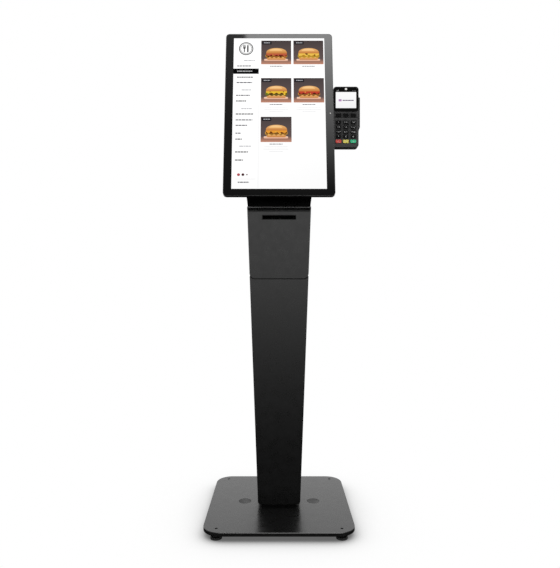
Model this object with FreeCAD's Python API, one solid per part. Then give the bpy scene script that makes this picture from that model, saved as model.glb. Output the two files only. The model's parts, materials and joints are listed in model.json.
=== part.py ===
"""Free-standing ordering kiosk: a steel stand with a receipt printer, a tilting touch display
and a card terminal. Lengths are in millimetres. The origin is on the floor under the centre
of the base plate, +X is to the right of a person who uses the kiosk, +Y points away from
that person and +Z is up. Each function makes one piece, and the last lines write the pieces."""

import FreeCAD, Part
import math
import os

V = FreeCAD.Vector

# Base plate and feet
BASE_SIDE = 420.0
BASE_THICK = 10.0
BASE_CORNER_R = 50.0
BASE_EDGE_CHAMFER = 1.2
FOOT_EDGE_CHAMFER = 1.0
FOOT_NUT_CLEAR = 1.0
FOOT_HEIGHT = 16.0
FOOT_PAD_R = 16.0
FOOT_PAD_THICK = 7.0
FOOT_NUT_ACROSS = 15.0
FOOT_STEM_R = 3.95
FOOT_HOLE_R = 4.0
FOOT_X = 172.0
FOOT_Y = 183.5
FOOT_STEM_BELOW_TOP = 2.0
PLUG_X = 105.0
PLUG_R = 19.0
PLUG_THICK = 3.0
PLUG_GAP = 0.25
PLUG_SPIGOT_R = 6.5
PLUG_SPIGOT_SHORT = 3.0
PLUG_EDGE_CHAMFER = 0.6
ANCHOR_HOLE_R = 7.0
BOLT_X = 42.0
BOLT_Y = (-12.0, 48.0)
BOLT_R = 4.0
BOLT_HEAD_R = 7.5
BOLT_HEAD_DEPTH = 5.0
BOLT_SOCKET_R = 3.0
BOLT_NUT_R = 7.0
BOLT_NUT_THICK = 6.5
BOLT_HEAD_GAP = 0.5
BOLT_END = 2.0

# Column: a sheet-steel box that gets wider and leans forward towards the top
SHEET = 2.0
PLINTH_THICK = 6.0
PLINTH_HALF_X = 55.0
PLINTH_Y = (-26.0, 60.0)
PLINTH_CORNER_R = 6.0
COLUMN_EDGE_R = 4.5
COLUMN_FOOT_R = 9.0
COLUMN_TOP_Z = 923.0
FLARE_TOP_Z = 960.0
NECK_TOP_Z = 1120.0
HALF_X_FOOT = 63.7
HALF_X_TOP = 93.6
HALF_X_NECK = 98.5
FRONT_Y_FOOT = -40.0
FRONT_Y_TOP = -93.2
BACK_Y_FOOT = 70.0
BACK_Y_NECK = 85.0
FRONT_FLANGE = 22.0
PART_GAP = 1.2
NECK_FRONT_Y = -42.0
NECK_COVER_GAP = 0.15
NECK_COVER_SHORT = 0.5

# Service cover, power inlet and power supply low in the column's back
COVER_HALF_X = 48.0
COVER_Z = (170.0, 560.0)
COVER_LIP = 7.0
COVER_THICK = 1.5
COVER_SCREW_R = 3.0
COVER_SCREW_INSET = 4.0
COVER_SCREW_SUNK = 0.5
COVER_SCREW_PROUD = 1.5
VENT_ROWS = 14
VENT_PITCH = 9.0
VENT_HALF_X = 26.0
VENT_HALF_Z = 1.6
VENT_MARGIN = 40.0
INLET_Z = 96.0
INLET_HALF_X = 14.0
INLET_HALF_Z = 12.0
INLET_FLANGE_X = 5.0
INLET_FLANGE_Z = 3.0
INLET_FLANGE_THICK = 2.5
INLET_DEPTH = 22.0
INLET_GAP = 0.3
INLET_POCKET_HALF_X = 11.0
INLET_POCKET_HALF_Z = 8.0
INLET_POCKET_DEPTH = 14.0
INLET_PIN_HALF = (1.0, 3.0)
INLET_PINS = ((-6.0, -1.0), (0.0, 1.5), (6.0, -1.0))
INLET_PIN_SHORT = 3.0
SUPPLY_HALF_X = 28.0
SUPPLY_Y = (2.0, 40.0)
SUPPLY_TOP_Z = 190.0
SUPPLY_CORNER_R = 4.0
SUPPLY_GROOVES = 6
SUPPLY_GROOVE_PITCH = 16.0
SUPPLY_GROOVE_Z = 70.0
SUPPLY_GROOVE = (18.0, 1.0, 4.0)
CABLE_R = 3.5
CABLE_PATH = (
    (0, 21, SUPPLY_TOP_Z), (0, 24, 240), (30, 55, 360), (70, 60, 640),
    (74, 62, 760), (70, 60, 900), (40, 50, 1040), (0, 45, 1108),
)

# Head of the neck, where the display tilts
CAP_THICK = 4.0
CAP_CABLE_HOLE_R = 14.0
HEAD_EAR_Y = (4.0, 70.0)
HEAD_EAR_HEEL = 8.0
HEAD_EAR_WALL = 8.0
PIN_HEAD_THICK = 4.0
PIN_HEAD_RIM = 3.0

# Door: a flap that turns about the centre of the bend along its top
DOOR_BOTTOM_Z = 711.0
DOOR_SEAM = 2.4
DOOR_CORNER_R = 16.0
DOOR_BEND_R = 18.0
DOOR_BEND_END_DEG = 50.0
DOOR_RELIEF = 0.8
EAR_TOP_Z = 718.0
PIVOT_PIN_R = 2.5
PIVOT_BUSH_R = 4.0
PIVOT_BUSH_X = (91.1, 93.3)
PIVOT_PLATE_X = 88.0
PIVOT_HEAD_RIM = 2.0
PIVOT_HEAD_THICK = 1.0
PIVOT_PIN_END = 0.2
PLATE_RIM = 3.0
PLATE_DEPTH = 20.0
PLATE_DROP = 45.0
PLATE_THICK = 1.0
PLATE_GAP = 1.0
PLATE_PAD_DEPTH = 12.0
PLATE_PAD_Z = (44.0, 22.0)
RUNNING_GAP = 0.05
MAGNET_X = (-50.0, 30.0)
MAGNET_WIDTH = 20.0
MAGNET_REACH = 12.6
MAGNET_Z = (716.0, 730.0)
MAGNET_CORNER_R = 1.5
SLOT_WIDTH = 100.0
SLOT_HEIGHT = 14.4
SLOT_Z = 888.8
BEZEL_WALL = 1.6
BEZEL_FLANGE = 6.0
BEZEL_FLANGE_THICK = 2.0
BEZEL_GAP = 0.15
BEZEL_RECESS = 1.4

# Receipt printer in the compartment behind the door
SHELF_Z = 740.0
SHELF_THICK = 2.5
SHELF_LIP_Y = -66.0
SHELF_LIP_Z = 712.0
SHELF_LIP_HALF_X = 64.0
SHELF_FRONT_Y = -54.0
SHELF_TONGUE_LAP = 4.0
SHELF_GAP = 0.2
CABLE_SLOT_R = 6.0
PRINTER_HALF_X = 60.0
PRINTER_Y = (-60.0, 40.0)
PRINTER_TOP_Z = 858.0
PRINTER_CORNER_R = 5.0
LID_THICK = 7.0
LID_LIFT = 1.0
LID_PIN_R = 2.0
LID_BARREL_R = 3.5
LID_HINGE_Y = 35.0
LID_EAR_THICK = 3.0
LID_EAR_R = 5.0
BAY_HALF_X = 47.0
BAY_Y = (-48.0, 30.0)
BAY_FLOOR = 10.0
ROLL_CLEAR = 3.0
ROLL_R = 36.0
ROLL_CORE_R = 8.5
ROLL_HALF = 40.0
ROLLER_R = 6.0
ROLLER_HALF = 40.0
ROLLER_SHAFT_R = 2.0
ROLLER_Y = -38.0
ROLLER_DROP = 8.0
ROLLER_CHEEK_THICK = 3.0
ROLLER_CHEEK_HALF_Y = 5.0
ROLLER_CHEEK_GAP = 2.0
ROLLER_SHAFT_END = 1.0

# Display: a flat box that leans back
TILT_DEG = 11.33
GLASS_FOOT = V(0, -131.8, 944.6)
DISPLAY_W = 320.0
DISPLAY_H = 516.0
DISPLAY_CORNER_R = 11.0
RIM = 1.5
GLASS_THICK = 3.0
GLASS_GAP = 0.1
GLASS_RECESS = 0.2
BAND_DEPTH = 12.0
LEDGE = 6.0
WINDOW_CORNER_R = 6.0
HOUSING_DEPTH = 42.0
HOUSING_FLAT_W = 200.0
HOUSING_FLAT_H = 360.0
HOUSING_WALL = 2.5
HOUSING_FLAT_R = 24.0
HOUSING_LIP = 2.0
PANEL_W = 290.0
PANEL_H = 494.0
PANEL_CORNER_R = 3.0
PANEL_BACK_GAP = 0.5
PIVOT_DEPTH = 70.0
TILT_PIN_R = 5.0
TILT_EAR_X = (38.0, 43.0)
TILT_EAR_WALL = 6.0
HEAD_EAR_X = (43.5, 48.5)
VESA_HALF = 50.0
VESA_PLATE_HALF = 60.0
VESA_PLATE_THICK = 3.0
VESA_HOLE_R = 2.2
SCREW_R = 2.1
SCREW_HEAD_R = 4.0
SCREW_HEAD_THICK = 2.6
SCREW_TIP = 4.0
HOUSING_VENTS = 9
HOUSING_VENT_PITCH = 7.0
HOUSING_VENT_FROM = 92.0
HOUSING_VENT_HALF_X = 60.0
HOUSING_VENT_HALF_V = 1.5
BOARD_DEPTH = 24.0
BOARD_THICK = 1.6
BOARD_HALF = (85.0, 60.0)
BOARD_POST_R = 3.0
BOARD_POST_INSET = 7.0
HEAT_SINK_HALF = 25.0
HEAT_SINK_THICK = 9.0
SOCKET_COUNT = 4
SOCKET_PITCH = 22.0
SOCKET_SIZE = (15.0, 6.0, 18.0)
SOCKET_FIRST_X = -70.0

# Card terminal and its arm
TERMINAL_X = 200.0
TERMINAL_Z = 1194.0
TERMINAL_W = 76.0
TERMINAL_H = 182.0
TERMINAL_FRONT_Y = -49.0
TERMINAL_SPLIT_Y = -33.0
TERMINAL_BACK_Y = -19.0
TERMINAL_CORNER_R = 9.0
CASE_WALL = 2.0
CASE_FRONT_R = 1.4
CASE_BACK_R = 4.0
RAIL_WIDTH = 4.4
RAIL_Z = (1151.0, 1257.0)
RAIL_Y = (-44.0, -24.0)
RAIL_SLOPES = (14.0, 4.0)
RAIL_SLOT_X = (1.5, 2.7)
RAIL_SLOT_END_Y = -32.0
CRADLE_HALF_X = 30.0
CRADLE_Z = (1150.0, 1230.0)
CRADLE_THICK = 5.0
CRADLE_WEB_HALF = 5.0
CRADLE_SIDE_GAP = 0.3
CRADLE_CORNER_R = 6.0
CRADLE_BARREL_WALL = 3.0
LENS_THICK = 1.5
LENS_BOTTOM_Z = 1209.5
LENS_MARGIN = 1.5
LENS_CHAMFER = 0.3
KEY_GAP = 0.3
KEY_PROUD = 1.2
KEY_FLANGE = 1.0
KEY_FLANGE_THICK = 1.4
KEY_CORNER_R = 1.8
KEY_OPENING_R = 2.0
KEY_FRONT_R = 0.6
KEY_HEIGHT = 9.8
KEY_SHIFT_X = -0.4
KEY_PITCH_X = 22.0
KEY_WIDTH = 15.0
MENU_KEY_WIDTH = 16.0
COLOUR_KEY_WIDTH = 17.0
DIGIT_ROWS_Z = (1178.0, 1163.6, 1149.3, 1135.0)
COLOUR_ROW_Z = 1120.7
MENU_ROW_Z = 1199.6
ARM_V = (240.0, 276.0)
ARM_THICK = 4.0
ARM_BACK_DEPTH = 86.0
ARM_STEP_X = 114.0
ARM_END_X = 222.0
ARM_PIVOT_V = 262.0
ARM_PIVOT_DEPTH = 77.0
ARM_START_X = 64.0
ARM_EAR_WALL = 3.5
ARM_PIN_R = 3.0
ARM_PIN_HEAD_RIM = 2.0
ARM_PIN_HEAD_THICK = 2.5
ARM_EAR_X = (12.0, 15.0)

# Worked out from the sizes above
BASE_Z = FOOT_HEIGHT
BASE_TOP_Z = BASE_Z + BASE_THICK
COLUMN_Z = BASE_TOP_Z + PLINTH_THICK
FRONT_SLOPE = (FRONT_Y_TOP - FRONT_Y_FOOT) / (COLUMN_TOP_Z - COLUMN_Z)
LEAN = math.atan(-FRONT_SLOPE)
TILT = math.radians(TILT_DEG)
FAR = 400.0
BOLT_PLACES = [(x, y) for x in (-BOLT_X, BOLT_X) for y in BOLT_Y]
FOOT_PLACES = {
    "front_left": (-FOOT_X, -FOOT_Y),
    "front_right": (FOOT_X, -FOOT_Y),
    "rear_left": (-FOOT_X, FOOT_Y),
    "rear_right": (FOOT_X, FOOT_Y),
}


def front_y(z):
    """Outer front plane of the column."""
    return FRONT_Y_FOOT + FRONT_SLOPE * (z - COLUMN_Z)


def back_y(z):
    """Outer back plane of the column."""
    return BACK_Y_FOOT + (BACK_Y_NECK - BACK_Y_FOOT) * (z - COLUMN_Z) / (NECK_TOP_Z - COLUMN_Z)


def half_x(z):
    """Outer half width of the column and neck."""
    if z <= COLUMN_TOP_Z:
        return HALF_X_FOOT + (HALF_X_TOP - HALF_X_FOOT) * (z - COLUMN_Z) / (COLUMN_TOP_Z - COLUMN_Z)
    share = min(1.0, (z - COLUMN_TOP_Z) / (FLARE_TOP_Z - COLUMN_TOP_Z))
    return HALF_X_TOP + (HALF_X_NECK - HALF_X_TOP) * share


def seam_y(z):
    """Where the front cover and the door end and the rear shell begins."""
    return front_y(z) + FRONT_FLANGE


def neck_y(z):
    """Outer front plane of the neck, parallel to the display."""
    return NECK_FRONT_Y + (z - COLUMN_TOP_Z) * math.tan(TILT)


# Plain shapes


def box(x0, x1, y0, y1, z0, z1):
    return Part.makeBox(x1 - x0, y1 - y0, z1 - z0, V(x0, y0, z0))


def rod_x(y, z, radius, x0, x1):
    return Part.makeCylinder(radius, x1 - x0, V(x0, y, z), V(1, 0, 0))


def rod_y(x, z, radius, y0, y1):
    return Part.makeCylinder(radius, y1 - y0, V(x, y0, z), V(0, 1, 0))


def rod_z(x, y, radius, z0, z1):
    return Part.makeCylinder(radius, z1 - z0, V(x, y, z0), V(0, 0, 1))


def side_profile(points, x0, x1):
    """A solid whose side view is the closed outline through (y, z) points."""
    corners = [V(x0, y, z) for y, z in points]
    corners.append(corners[0])
    return Part.Face(Part.makePolygon(corners)).extrude(V(x1 - x0, 0, 0))


def front_profile(points, y0, y1):
    """A solid whose front view is symmetric, with its right side through (x, z) points."""
    corners = [V(x, y0, z) for x, z in points]
    corners += [V(-x, y0, z) for x, z in reversed(points)]
    corners.append(corners[0])
    return Part.Face(Part.makePolygon(corners)).extrude(V(0, y1 - y0, 0))


def rounded(shape, direction, radius):
    """The shape with its straight edges along one direction rounded."""
    edges = []
    for edge in shape.Edges:
        run = edge.Vertexes[-1].Point - edge.Vertexes[0].Point
        if run.Length > 0 and run.normalize().cross(direction).Length < 1e-6:
            edges.append(edge)
    return shape.makeFillet(radius, edges)


def fused(shapes):
    first = shapes[0]
    return first.fuse(shapes[1:]).removeSplitter() if len(shapes) > 1 else first


def mirrored(shape):
    """The shape's copy on the other side of the plane X = 0."""
    return shape.mirror(V(0, 0, 0), V(1, 0, 0))


def both_sides(shape):
    return Part.makeCompound([shape, mirrored(shape)])


def rounded_wire(half_width, y0, y1, z, radius):
    """A level rectangle with round corners."""
    corners = ((half_width, y1), (-half_width, y1), (-half_width, y0), (half_width, y0))
    edges = []
    last = None
    first = None
    for x, y in corners:
        sx = math.copysign(1, x)
        sy = 1 if y == y1 else -1
        centre = V(x - sx * radius, y - sy * radius, z)
        on_side = centre + V(sx * radius, 0, 0)
        on_end = centre + V(0, sy * radius, 0)
        middle = centre + V(sx, sy, 0) * (radius / math.sqrt(2))
        start, end = (on_side, on_end) if sx * sy > 0 else (on_end, on_side)
        if last is not None:
            edges.append(Part.LineSegment(last, start).toShape())
        else:
            first = start
        edges.append(Part.Arc(start, middle, end).toShape())
        last = end
    edges.append(Part.LineSegment(last, first).toShape())
    return Part.Wire(edges)


def column_length(inset, low, high):
    """One straight length of the column with rounded long edges. Low and high are its ends
    as (half width, z), and inset draws it in on all four sides."""
    low_x, low_z = low
    high_x, high_z = high
    outline = [
        (front_y(low_z) + inset, low_z), (front_y(high_z) + inset, high_z),
        (back_y(high_z) - inset, high_z), (back_y(low_z) - inset, low_z),
    ]
    sides = front_profile([(low_x - inset, low_z), (high_x - inset, high_z)], -FAR, FAR)
    length = side_profile(outline, -FAR, FAR).common(sides)
    long_edges = [e for e in length.Edges if e.BoundBox.ZLength > (high_z - low_z) / 2]
    return length.makeFillet(COLUMN_EDGE_R - min(inset, SHEET), long_edges)


def column_block(inset, low_z, high_z):
    """The column and neck as a solid, drawn in by inset on all four sides."""
    column = column_length(inset, (half_x(low_z), low_z), (HALF_X_TOP, COLUMN_TOP_Z))
    neck = column_length(inset, (HALF_X_NECK, COLUMN_TOP_Z), (HALF_X_NECK, high_z))
    flare = front_profile(
        [(half_x(z) - inset, z) for z in (COLUMN_TOP_Z, FLARE_TOP_Z, high_z)], -FAR, FAR
    )
    return fused([column, neck.common(flare)])


def corner_cutter(centre_x, centre_z, radius):
    """What a round lower corner takes away, on both sides, right through from front to back."""
    block = box(centre_x, centre_x + FAR, -FAR, FAR, centre_z - FAR, centre_z)
    return both_sides(block.cut(rod_y(centre_x, centre_z, radius, -FAR, FAR)))


def column_shell():
    """Sheet-metal skin of the column, closed at the foot and open at the top."""
    centre_x = half_x(COLUMN_Z + COLUMN_FOOT_R) - COLUMN_FOOT_R
    centre_z = COLUMN_Z + COLUMN_FOOT_R
    outer = column_block(0, COLUMN_Z, NECK_TOP_Z)
    outer = outer.cut(corner_cutter(centre_x, centre_z, COLUMN_FOOT_R))
    inner = column_block(SHEET, COLUMN_Z + SHEET, NECK_TOP_Z + 1)
    inner = inner.cut(corner_cutter(centre_x, centre_z, COLUMN_FOOT_R - SHEET))
    return outer.cut(inner)


def in_column(shape, clearance):
    """The part of a shape that fits inside the column's skin."""
    room = column_block(SHEET + clearance, COLUMN_Z + SHEET + clearance, NECK_TOP_Z + 1)
    return shape.common(room)


def on_display(shape):
    """Moves a shape from the display's own axes (X, depth behind the glass, height up the
    glass) to where the display stands."""
    placed = shape.copy()
    placed.rotate(V(0, 0, 0), V(1, 0, 0), -TILT_DEG)
    placed.translate(GLASS_FOOT)
    return placed


def display_point(depth, height):
    """(y, z) of a point given by its depth behind the glass and its height up the glass."""
    y = GLASS_FOOT.y + height * math.sin(TILT) + depth * math.cos(TILT)
    z = GLASS_FOOT.z + height * math.cos(TILT) - depth * math.sin(TILT)
    return y, z


TILT_PIVOT_Y, TILT_PIVOT_Z = display_point(PIVOT_DEPTH, DISPLAY_H / 2)


# Base


def base_plate():
    half = BASE_SIDE / 2
    plate = box(-half, half, -half, half, BASE_Z, BASE_TOP_Z)
    plate = rounded(plate, V(0, 0, 1), BASE_CORNER_R)
    rim = [e for e in plate.Edges if e.BoundBox.ZMin > BASE_TOP_Z - 0.01]
    plate = plate.makeChamfer(BASE_EDGE_CHAMFER, rim)
    for x, y in FOOT_PLACES.values():
        plate = plate.cut(rod_z(x, y, FOOT_HOLE_R, BASE_Z - 1, BASE_TOP_Z + 1))
    for x in (-PLUG_X, PLUG_X):
        plate = plate.cut(rod_z(x, 0, PLUG_R, BASE_TOP_Z - PLUG_THICK, BASE_TOP_Z + 1))
        plate = plate.cut(rod_z(x, 0, ANCHOR_HOLE_R, BASE_Z - 1, BASE_TOP_Z))
    for x, y in BOLT_PLACES:
        plate = plate.cut(rod_z(x, y, BOLT_HEAD_R, BASE_Z - 1, BASE_Z + BOLT_HEAD_DEPTH))
        plate = plate.cut(rod_z(x, y, BOLT_R, BASE_Z, BASE_TOP_Z + 1))
    return plate


def anchor_hole_plugs():
    plugs = []
    for x in (-PLUG_X, PLUG_X):
        disc = rod_z(x, 0, PLUG_R - PLUG_GAP, BASE_TOP_Z - PLUG_THICK, BASE_TOP_Z)
        rim = [e for e in disc.Edges if e.BoundBox.ZMin > BASE_TOP_Z - 0.01]
        disc = disc.makeChamfer(PLUG_EDGE_CHAMFER, rim)
        spigot = rod_z(x, 0, PLUG_SPIGOT_R, BASE_Z + PLUG_SPIGOT_SHORT, BASE_TOP_Z - PLUG_THICK)
        plugs.append(disc.fuse(spigot).removeSplitter())
    return Part.makeCompound(plugs)


def levelling_foot(x, y):
    """Round pad, hexagonal nut and threaded stem, as one piece that turns in the base plate."""
    pad = rod_z(x, y, FOOT_PAD_R, 0, FOOT_PAD_THICK)
    rim = [e for e in pad.Edges if e.BoundBox.ZMin > FOOT_PAD_THICK - 0.01]
    pad = pad.makeChamfer(FOOT_EDGE_CHAMFER, rim)
    radius = FOOT_NUT_ACROSS / math.sqrt(3)
    corners = []
    for i in range(7):
        turn = math.radians(60 * i)
        corners.append(V(x + radius * math.cos(turn), y + radius * math.sin(turn), FOOT_PAD_THICK))
    nut_height = FOOT_HEIGHT - FOOT_PAD_THICK - FOOT_NUT_CLEAR
    nut = Part.Face(Part.makePolygon(corners)).extrude(V(0, 0, nut_height))
    stem = rod_z(x, y, FOOT_STEM_R, FOOT_PAD_THICK, BASE_TOP_Z - FOOT_STEM_BELOW_TOP)
    return fused([pad, nut, stem])


def column_plinth():
    plate = box(-PLINTH_HALF_X, PLINTH_HALF_X, PLINTH_Y[0], PLINTH_Y[1], BASE_TOP_Z, COLUMN_Z)
    plate = rounded(plate, V(0, 0, 1), PLINTH_CORNER_R)
    for x, y in BOLT_PLACES:
        plate = plate.cut(rod_z(x, y, BOLT_R, BASE_TOP_Z - 1, COLUMN_Z + 1))
    return plate


def base_bolts():
    """Four screws with hexagon sockets under the base plate, and their nuts in the column."""
    bolts = []
    floor_top = COLUMN_Z + SHEET
    for x, y in BOLT_PLACES:
        head_r = BOLT_HEAD_R - BOLT_HEAD_GAP
        head = rod_z(x, y, head_r, BASE_Z + BOLT_HEAD_GAP, BASE_Z + BOLT_HEAD_DEPTH)
        socket = rod_z(x, y, BOLT_SOCKET_R, BASE_Z, BASE_Z + BOLT_SOCKET_R)
        end = floor_top + BOLT_NUT_THICK + BOLT_END
        shank = rod_z(x, y, BOLT_R - RUNNING_GAP, BASE_Z + BOLT_SOCKET_R, end)
        nut = rod_z(x, y, BOLT_NUT_R, floor_top, floor_top + BOLT_NUT_THICK)
        bolts.append(fused([head, shank, nut]).cut(socket))
    return Part.makeCompound(bolts)


# Column


def column_rear_shell():
    outline = [
        (seam_y(COLUMN_Z - 1) + PART_GAP, COLUMN_Z - 1),
        (seam_y(COLUMN_TOP_Z) + PART_GAP, COLUMN_TOP_Z),
        (NECK_FRONT_Y, COLUMN_TOP_Z),
        (neck_y(NECK_TOP_Z), NECK_TOP_Z),
        (FAR, NECK_TOP_Z),
        (FAR, COLUMN_Z - 1),
    ]
    shell = column_shell().common(side_profile(outline, -FAR, FAR))
    shell = shell.cut(around_hinge(DOOR_BEND_R + DOOR_RELIEF))
    for x, y in BOLT_PLACES:
        shell = shell.cut(rod_z(x, y, BOLT_R, COLUMN_Z - 1, COLUMN_Z + SHEET + 1))
    inside = COVER_HALF_X - COVER_LIP
    low, high = COVER_Z
    shell = shell.cut(box(-inside, inside, 0, FAR, low + COVER_LIP, high - COVER_LIP))
    low, high = INLET_Z - INLET_HALF_Z, INLET_Z + INLET_HALF_Z
    return shell.cut(box(-INLET_HALF_X, INLET_HALF_X, 0, FAR, low, high))


def column_front_cover():
    outline = [
        (-FAR, COLUMN_Z - 1),
        (-FAR, EAR_TOP_Z),
        (seam_y(EAR_TOP_Z), EAR_TOP_Z),
        (seam_y(COLUMN_Z - 1), COLUMN_Z - 1),
    ]
    cover = column_shell().common(side_profile(outline, -FAR, FAR))
    corner_z = DOOR_BOTTOM_Z + DOOR_CORNER_R
    corner_x = half_x(corner_z) - DOOR_CORNER_R
    cover = cover.cut(box(-corner_x, corner_x, -FAR, FAR, DOOR_BOTTOM_Z - DOOR_SEAM, FAR * 2.5))
    for x in (-corner_x, corner_x):
        cover = cover.cut(rod_y(x, corner_z, DOOR_CORNER_R + DOOR_SEAM, -FAR, FAR))
    return cover


def sloped_back_panel(half_width, z0, z1, from_back, to_back):
    """A flat panel parallel to the column's back, between two distances behind it."""
    outline = [
        (back_y(z0) + from_back, z0),
        (back_y(z0) + to_back, z0),
        (back_y(z1) + to_back, z1),
        (back_y(z1) + from_back, z1),
    ]
    return side_profile(outline, -half_width, half_width)


def rear_service_cover():
    """Screwed-on panel over the opening in the column's back, with two banks of vent slots."""
    low, high = COVER_Z
    panel = sloped_back_panel(COVER_HALF_X, low, high, 0, COVER_THICK)
    bank_height = VENT_PITCH * (VENT_ROWS - 1)
    for first in (low + VENT_MARGIN, high - VENT_MARGIN - bank_height):
        for i in range(VENT_ROWS):
            z = first + VENT_PITCH * i
            panel = panel.cut(box(-VENT_HALF_X, VENT_HALF_X, 0, FAR, z - VENT_HALF_Z, z + VENT_HALF_Z))
    screw_x = COVER_HALF_X - COVER_SCREW_INSET
    for x in (-screw_x, screw_x):
        for z in (low + COVER_SCREW_INSET, high - COVER_SCREW_INSET):
            face = back_y(z) + COVER_THICK
            screw = rod_y(x, z, COVER_SCREW_R, face - COVER_SCREW_SUNK, face + COVER_SCREW_PROUD)
            panel = panel.fuse(screw)
    return panel.removeSplitter()


def power_inlet():
    """Flanged socket for a three-pin mains lead."""
    flange = sloped_back_panel(
        INLET_HALF_X + INLET_FLANGE_X, INLET_Z - INLET_HALF_Z - INLET_FLANGE_Z,
        INLET_Z + INLET_HALF_Z + INLET_FLANGE_Z, 0, INLET_FLANGE_THICK,
    )
    back = back_y(INLET_Z)
    half_w = INLET_HALF_X - INLET_GAP
    half_h = INLET_HALF_Z - INLET_GAP
    body = box(-half_w, half_w, back - INLET_DEPTH, back + 1, INLET_Z - half_h, INLET_Z + half_h)
    pocket_floor = back - INLET_POCKET_DEPTH
    pocket = box(
        -INLET_POCKET_HALF_X, INLET_POCKET_HALF_X, pocket_floor, back + INLET_DEPTH,
        INLET_Z - INLET_POCKET_HALF_Z, INLET_Z + INLET_POCKET_HALF_Z,
    )
    pieces = [flange.fuse(body).removeSplitter().cut(pocket)]
    pin_w, pin_h = INLET_PIN_HALF
    for x, rise in INLET_PINS:
        z = INLET_Z + rise
        tip = back - INLET_PIN_SHORT
        pieces.append(box(x - pin_w, x + pin_w, pocket_floor - 1, tip, z - pin_h, z + pin_h))
    return fused(pieces)


def power_supply():
    """Closed brick that stands on the column's floor, with cooling grooves in its front."""
    front, back = SUPPLY_Y
    brick = box(-SUPPLY_HALF_X, SUPPLY_HALF_X, front, back, COLUMN_Z + SHEET, SUPPLY_TOP_Z)
    brick = rounded(brick, V(0, 0, 1), SUPPLY_CORNER_R)
    half, depth, height = SUPPLY_GROOVE
    for i in range(SUPPLY_GROOVES):
        z = SUPPLY_GROOVE_Z + SUPPLY_GROOVE_PITCH * i
        brick = brick.cut(box(-half, half, front - 1, front + depth, z, z + height))
    return brick


def display_cable():
    """Cable from the power supply up the column to the neck."""
    path = Part.BSplineCurve()
    path.interpolate([V(*point) for point in CABLE_PATH])
    start = Part.Wire(Part.makeCircle(CABLE_R, V(*CABLE_PATH[0]), V(0, 0, 1)))
    return Part.Wire(path.toShape()).makePipeShell([start], True, True)


def neck_front_cover():
    """Shoulder plate and neck front in one folded sheet, between the side walls."""
    shoulder_y = seam_y(COLUMN_TOP_Z) + PART_GAP
    drop = COLUMN_TOP_Z - SHEET
    high = NECK_TOP_Z - NECK_COVER_SHORT
    outline = [
        (shoulder_y, COLUMN_TOP_Z),
        (NECK_FRONT_Y, COLUMN_TOP_Z),
        (neck_y(high), high),
        (neck_y(high) + SHEET, high),
        (NECK_FRONT_Y + SHEET, drop),
        (shoulder_y, drop),
    ]
    cover = in_column(side_profile(outline, -FAR, FAR), NECK_COVER_GAP)
    return cover.cut(around_hinge(DOOR_BEND_R + DOOR_RELIEF))


def head_bracket():
    """Cap plate on the neck with two ears that carry the display's tilt pin."""
    top = NECK_TOP_Z + CAP_THICK
    cap_outline = [(neck_y(NECK_TOP_Z), NECK_TOP_Z), (FAR, NECK_TOP_Z), (FAR, top), (neck_y(top), top)]
    cap = column_block(0, COLUMN_Z, top).common(side_profile(cap_outline, -FAR, FAR))
    cable_y = CABLE_PATH[-1][1]
    cable_hole = rod_z(0, cable_y, CAP_CABLE_HOLE_R, NECK_TOP_Z - 1, top + 1)
    outer = TILT_PIN_R + HEAD_EAR_WALL
    reach = outer * math.sqrt(0.5)
    front, back = HEAD_EAR_Y
    ear_outline = [
        (front, NECK_TOP_Z + 1),
        (back, NECK_TOP_Z + 1),
        (back, top + HEAD_EAR_HEEL),
        (TILT_PIVOT_Y + reach, TILT_PIVOT_Z + reach),
        (TILT_PIVOT_Y - reach, TILT_PIVOT_Z - reach),
    ]
    pieces = [cap.cut(cable_hole)]
    for x0, x1 in (HEAD_EAR_X, (-HEAD_EAR_X[1], -HEAD_EAR_X[0])):
        pieces.append(side_profile(ear_outline, x0, x1))
        pieces.append(rod_x(TILT_PIVOT_Y, TILT_PIVOT_Z, outer, x0, x1))
    hole = rod_x(TILT_PIVOT_Y, TILT_PIVOT_Z, TILT_PIN_R, -FAR, FAR)
    return fused(pieces).cut(hole)


def tilt_pin():
    """Plain pin through both pairs of ears, with a head at each end."""
    half = HEAD_EAR_X[1]
    pieces = [rod_x(TILT_PIVOT_Y, TILT_PIVOT_Z, TILT_PIN_R, -half - 1, half + 1)]
    head_r = TILT_PIN_R + PIN_HEAD_RIM
    for x in (half, -half - PIN_HEAD_THICK):
        pieces.append(rod_x(TILT_PIVOT_Y, TILT_PIVOT_Z, head_r, x, x + PIN_HEAD_THICK))
    return fused(pieces)


# Door

BEND_TANGENT_Z = COLUMN_TOP_Z - DOOR_BEND_R - DOOR_BEND_R * math.sin(LEAN)
HINGE_Y = front_y(BEND_TANGENT_Z) + DOOR_BEND_R * math.cos(LEAN)
HINGE_Z = COLUMN_TOP_Z - DOOR_BEND_R


def around_hinge(radius):
    """A round bar along the door's hinge line, wider than the column."""
    return rod_x(HINGE_Y, HINGE_Z, radius, -FAR, FAR)


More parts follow.
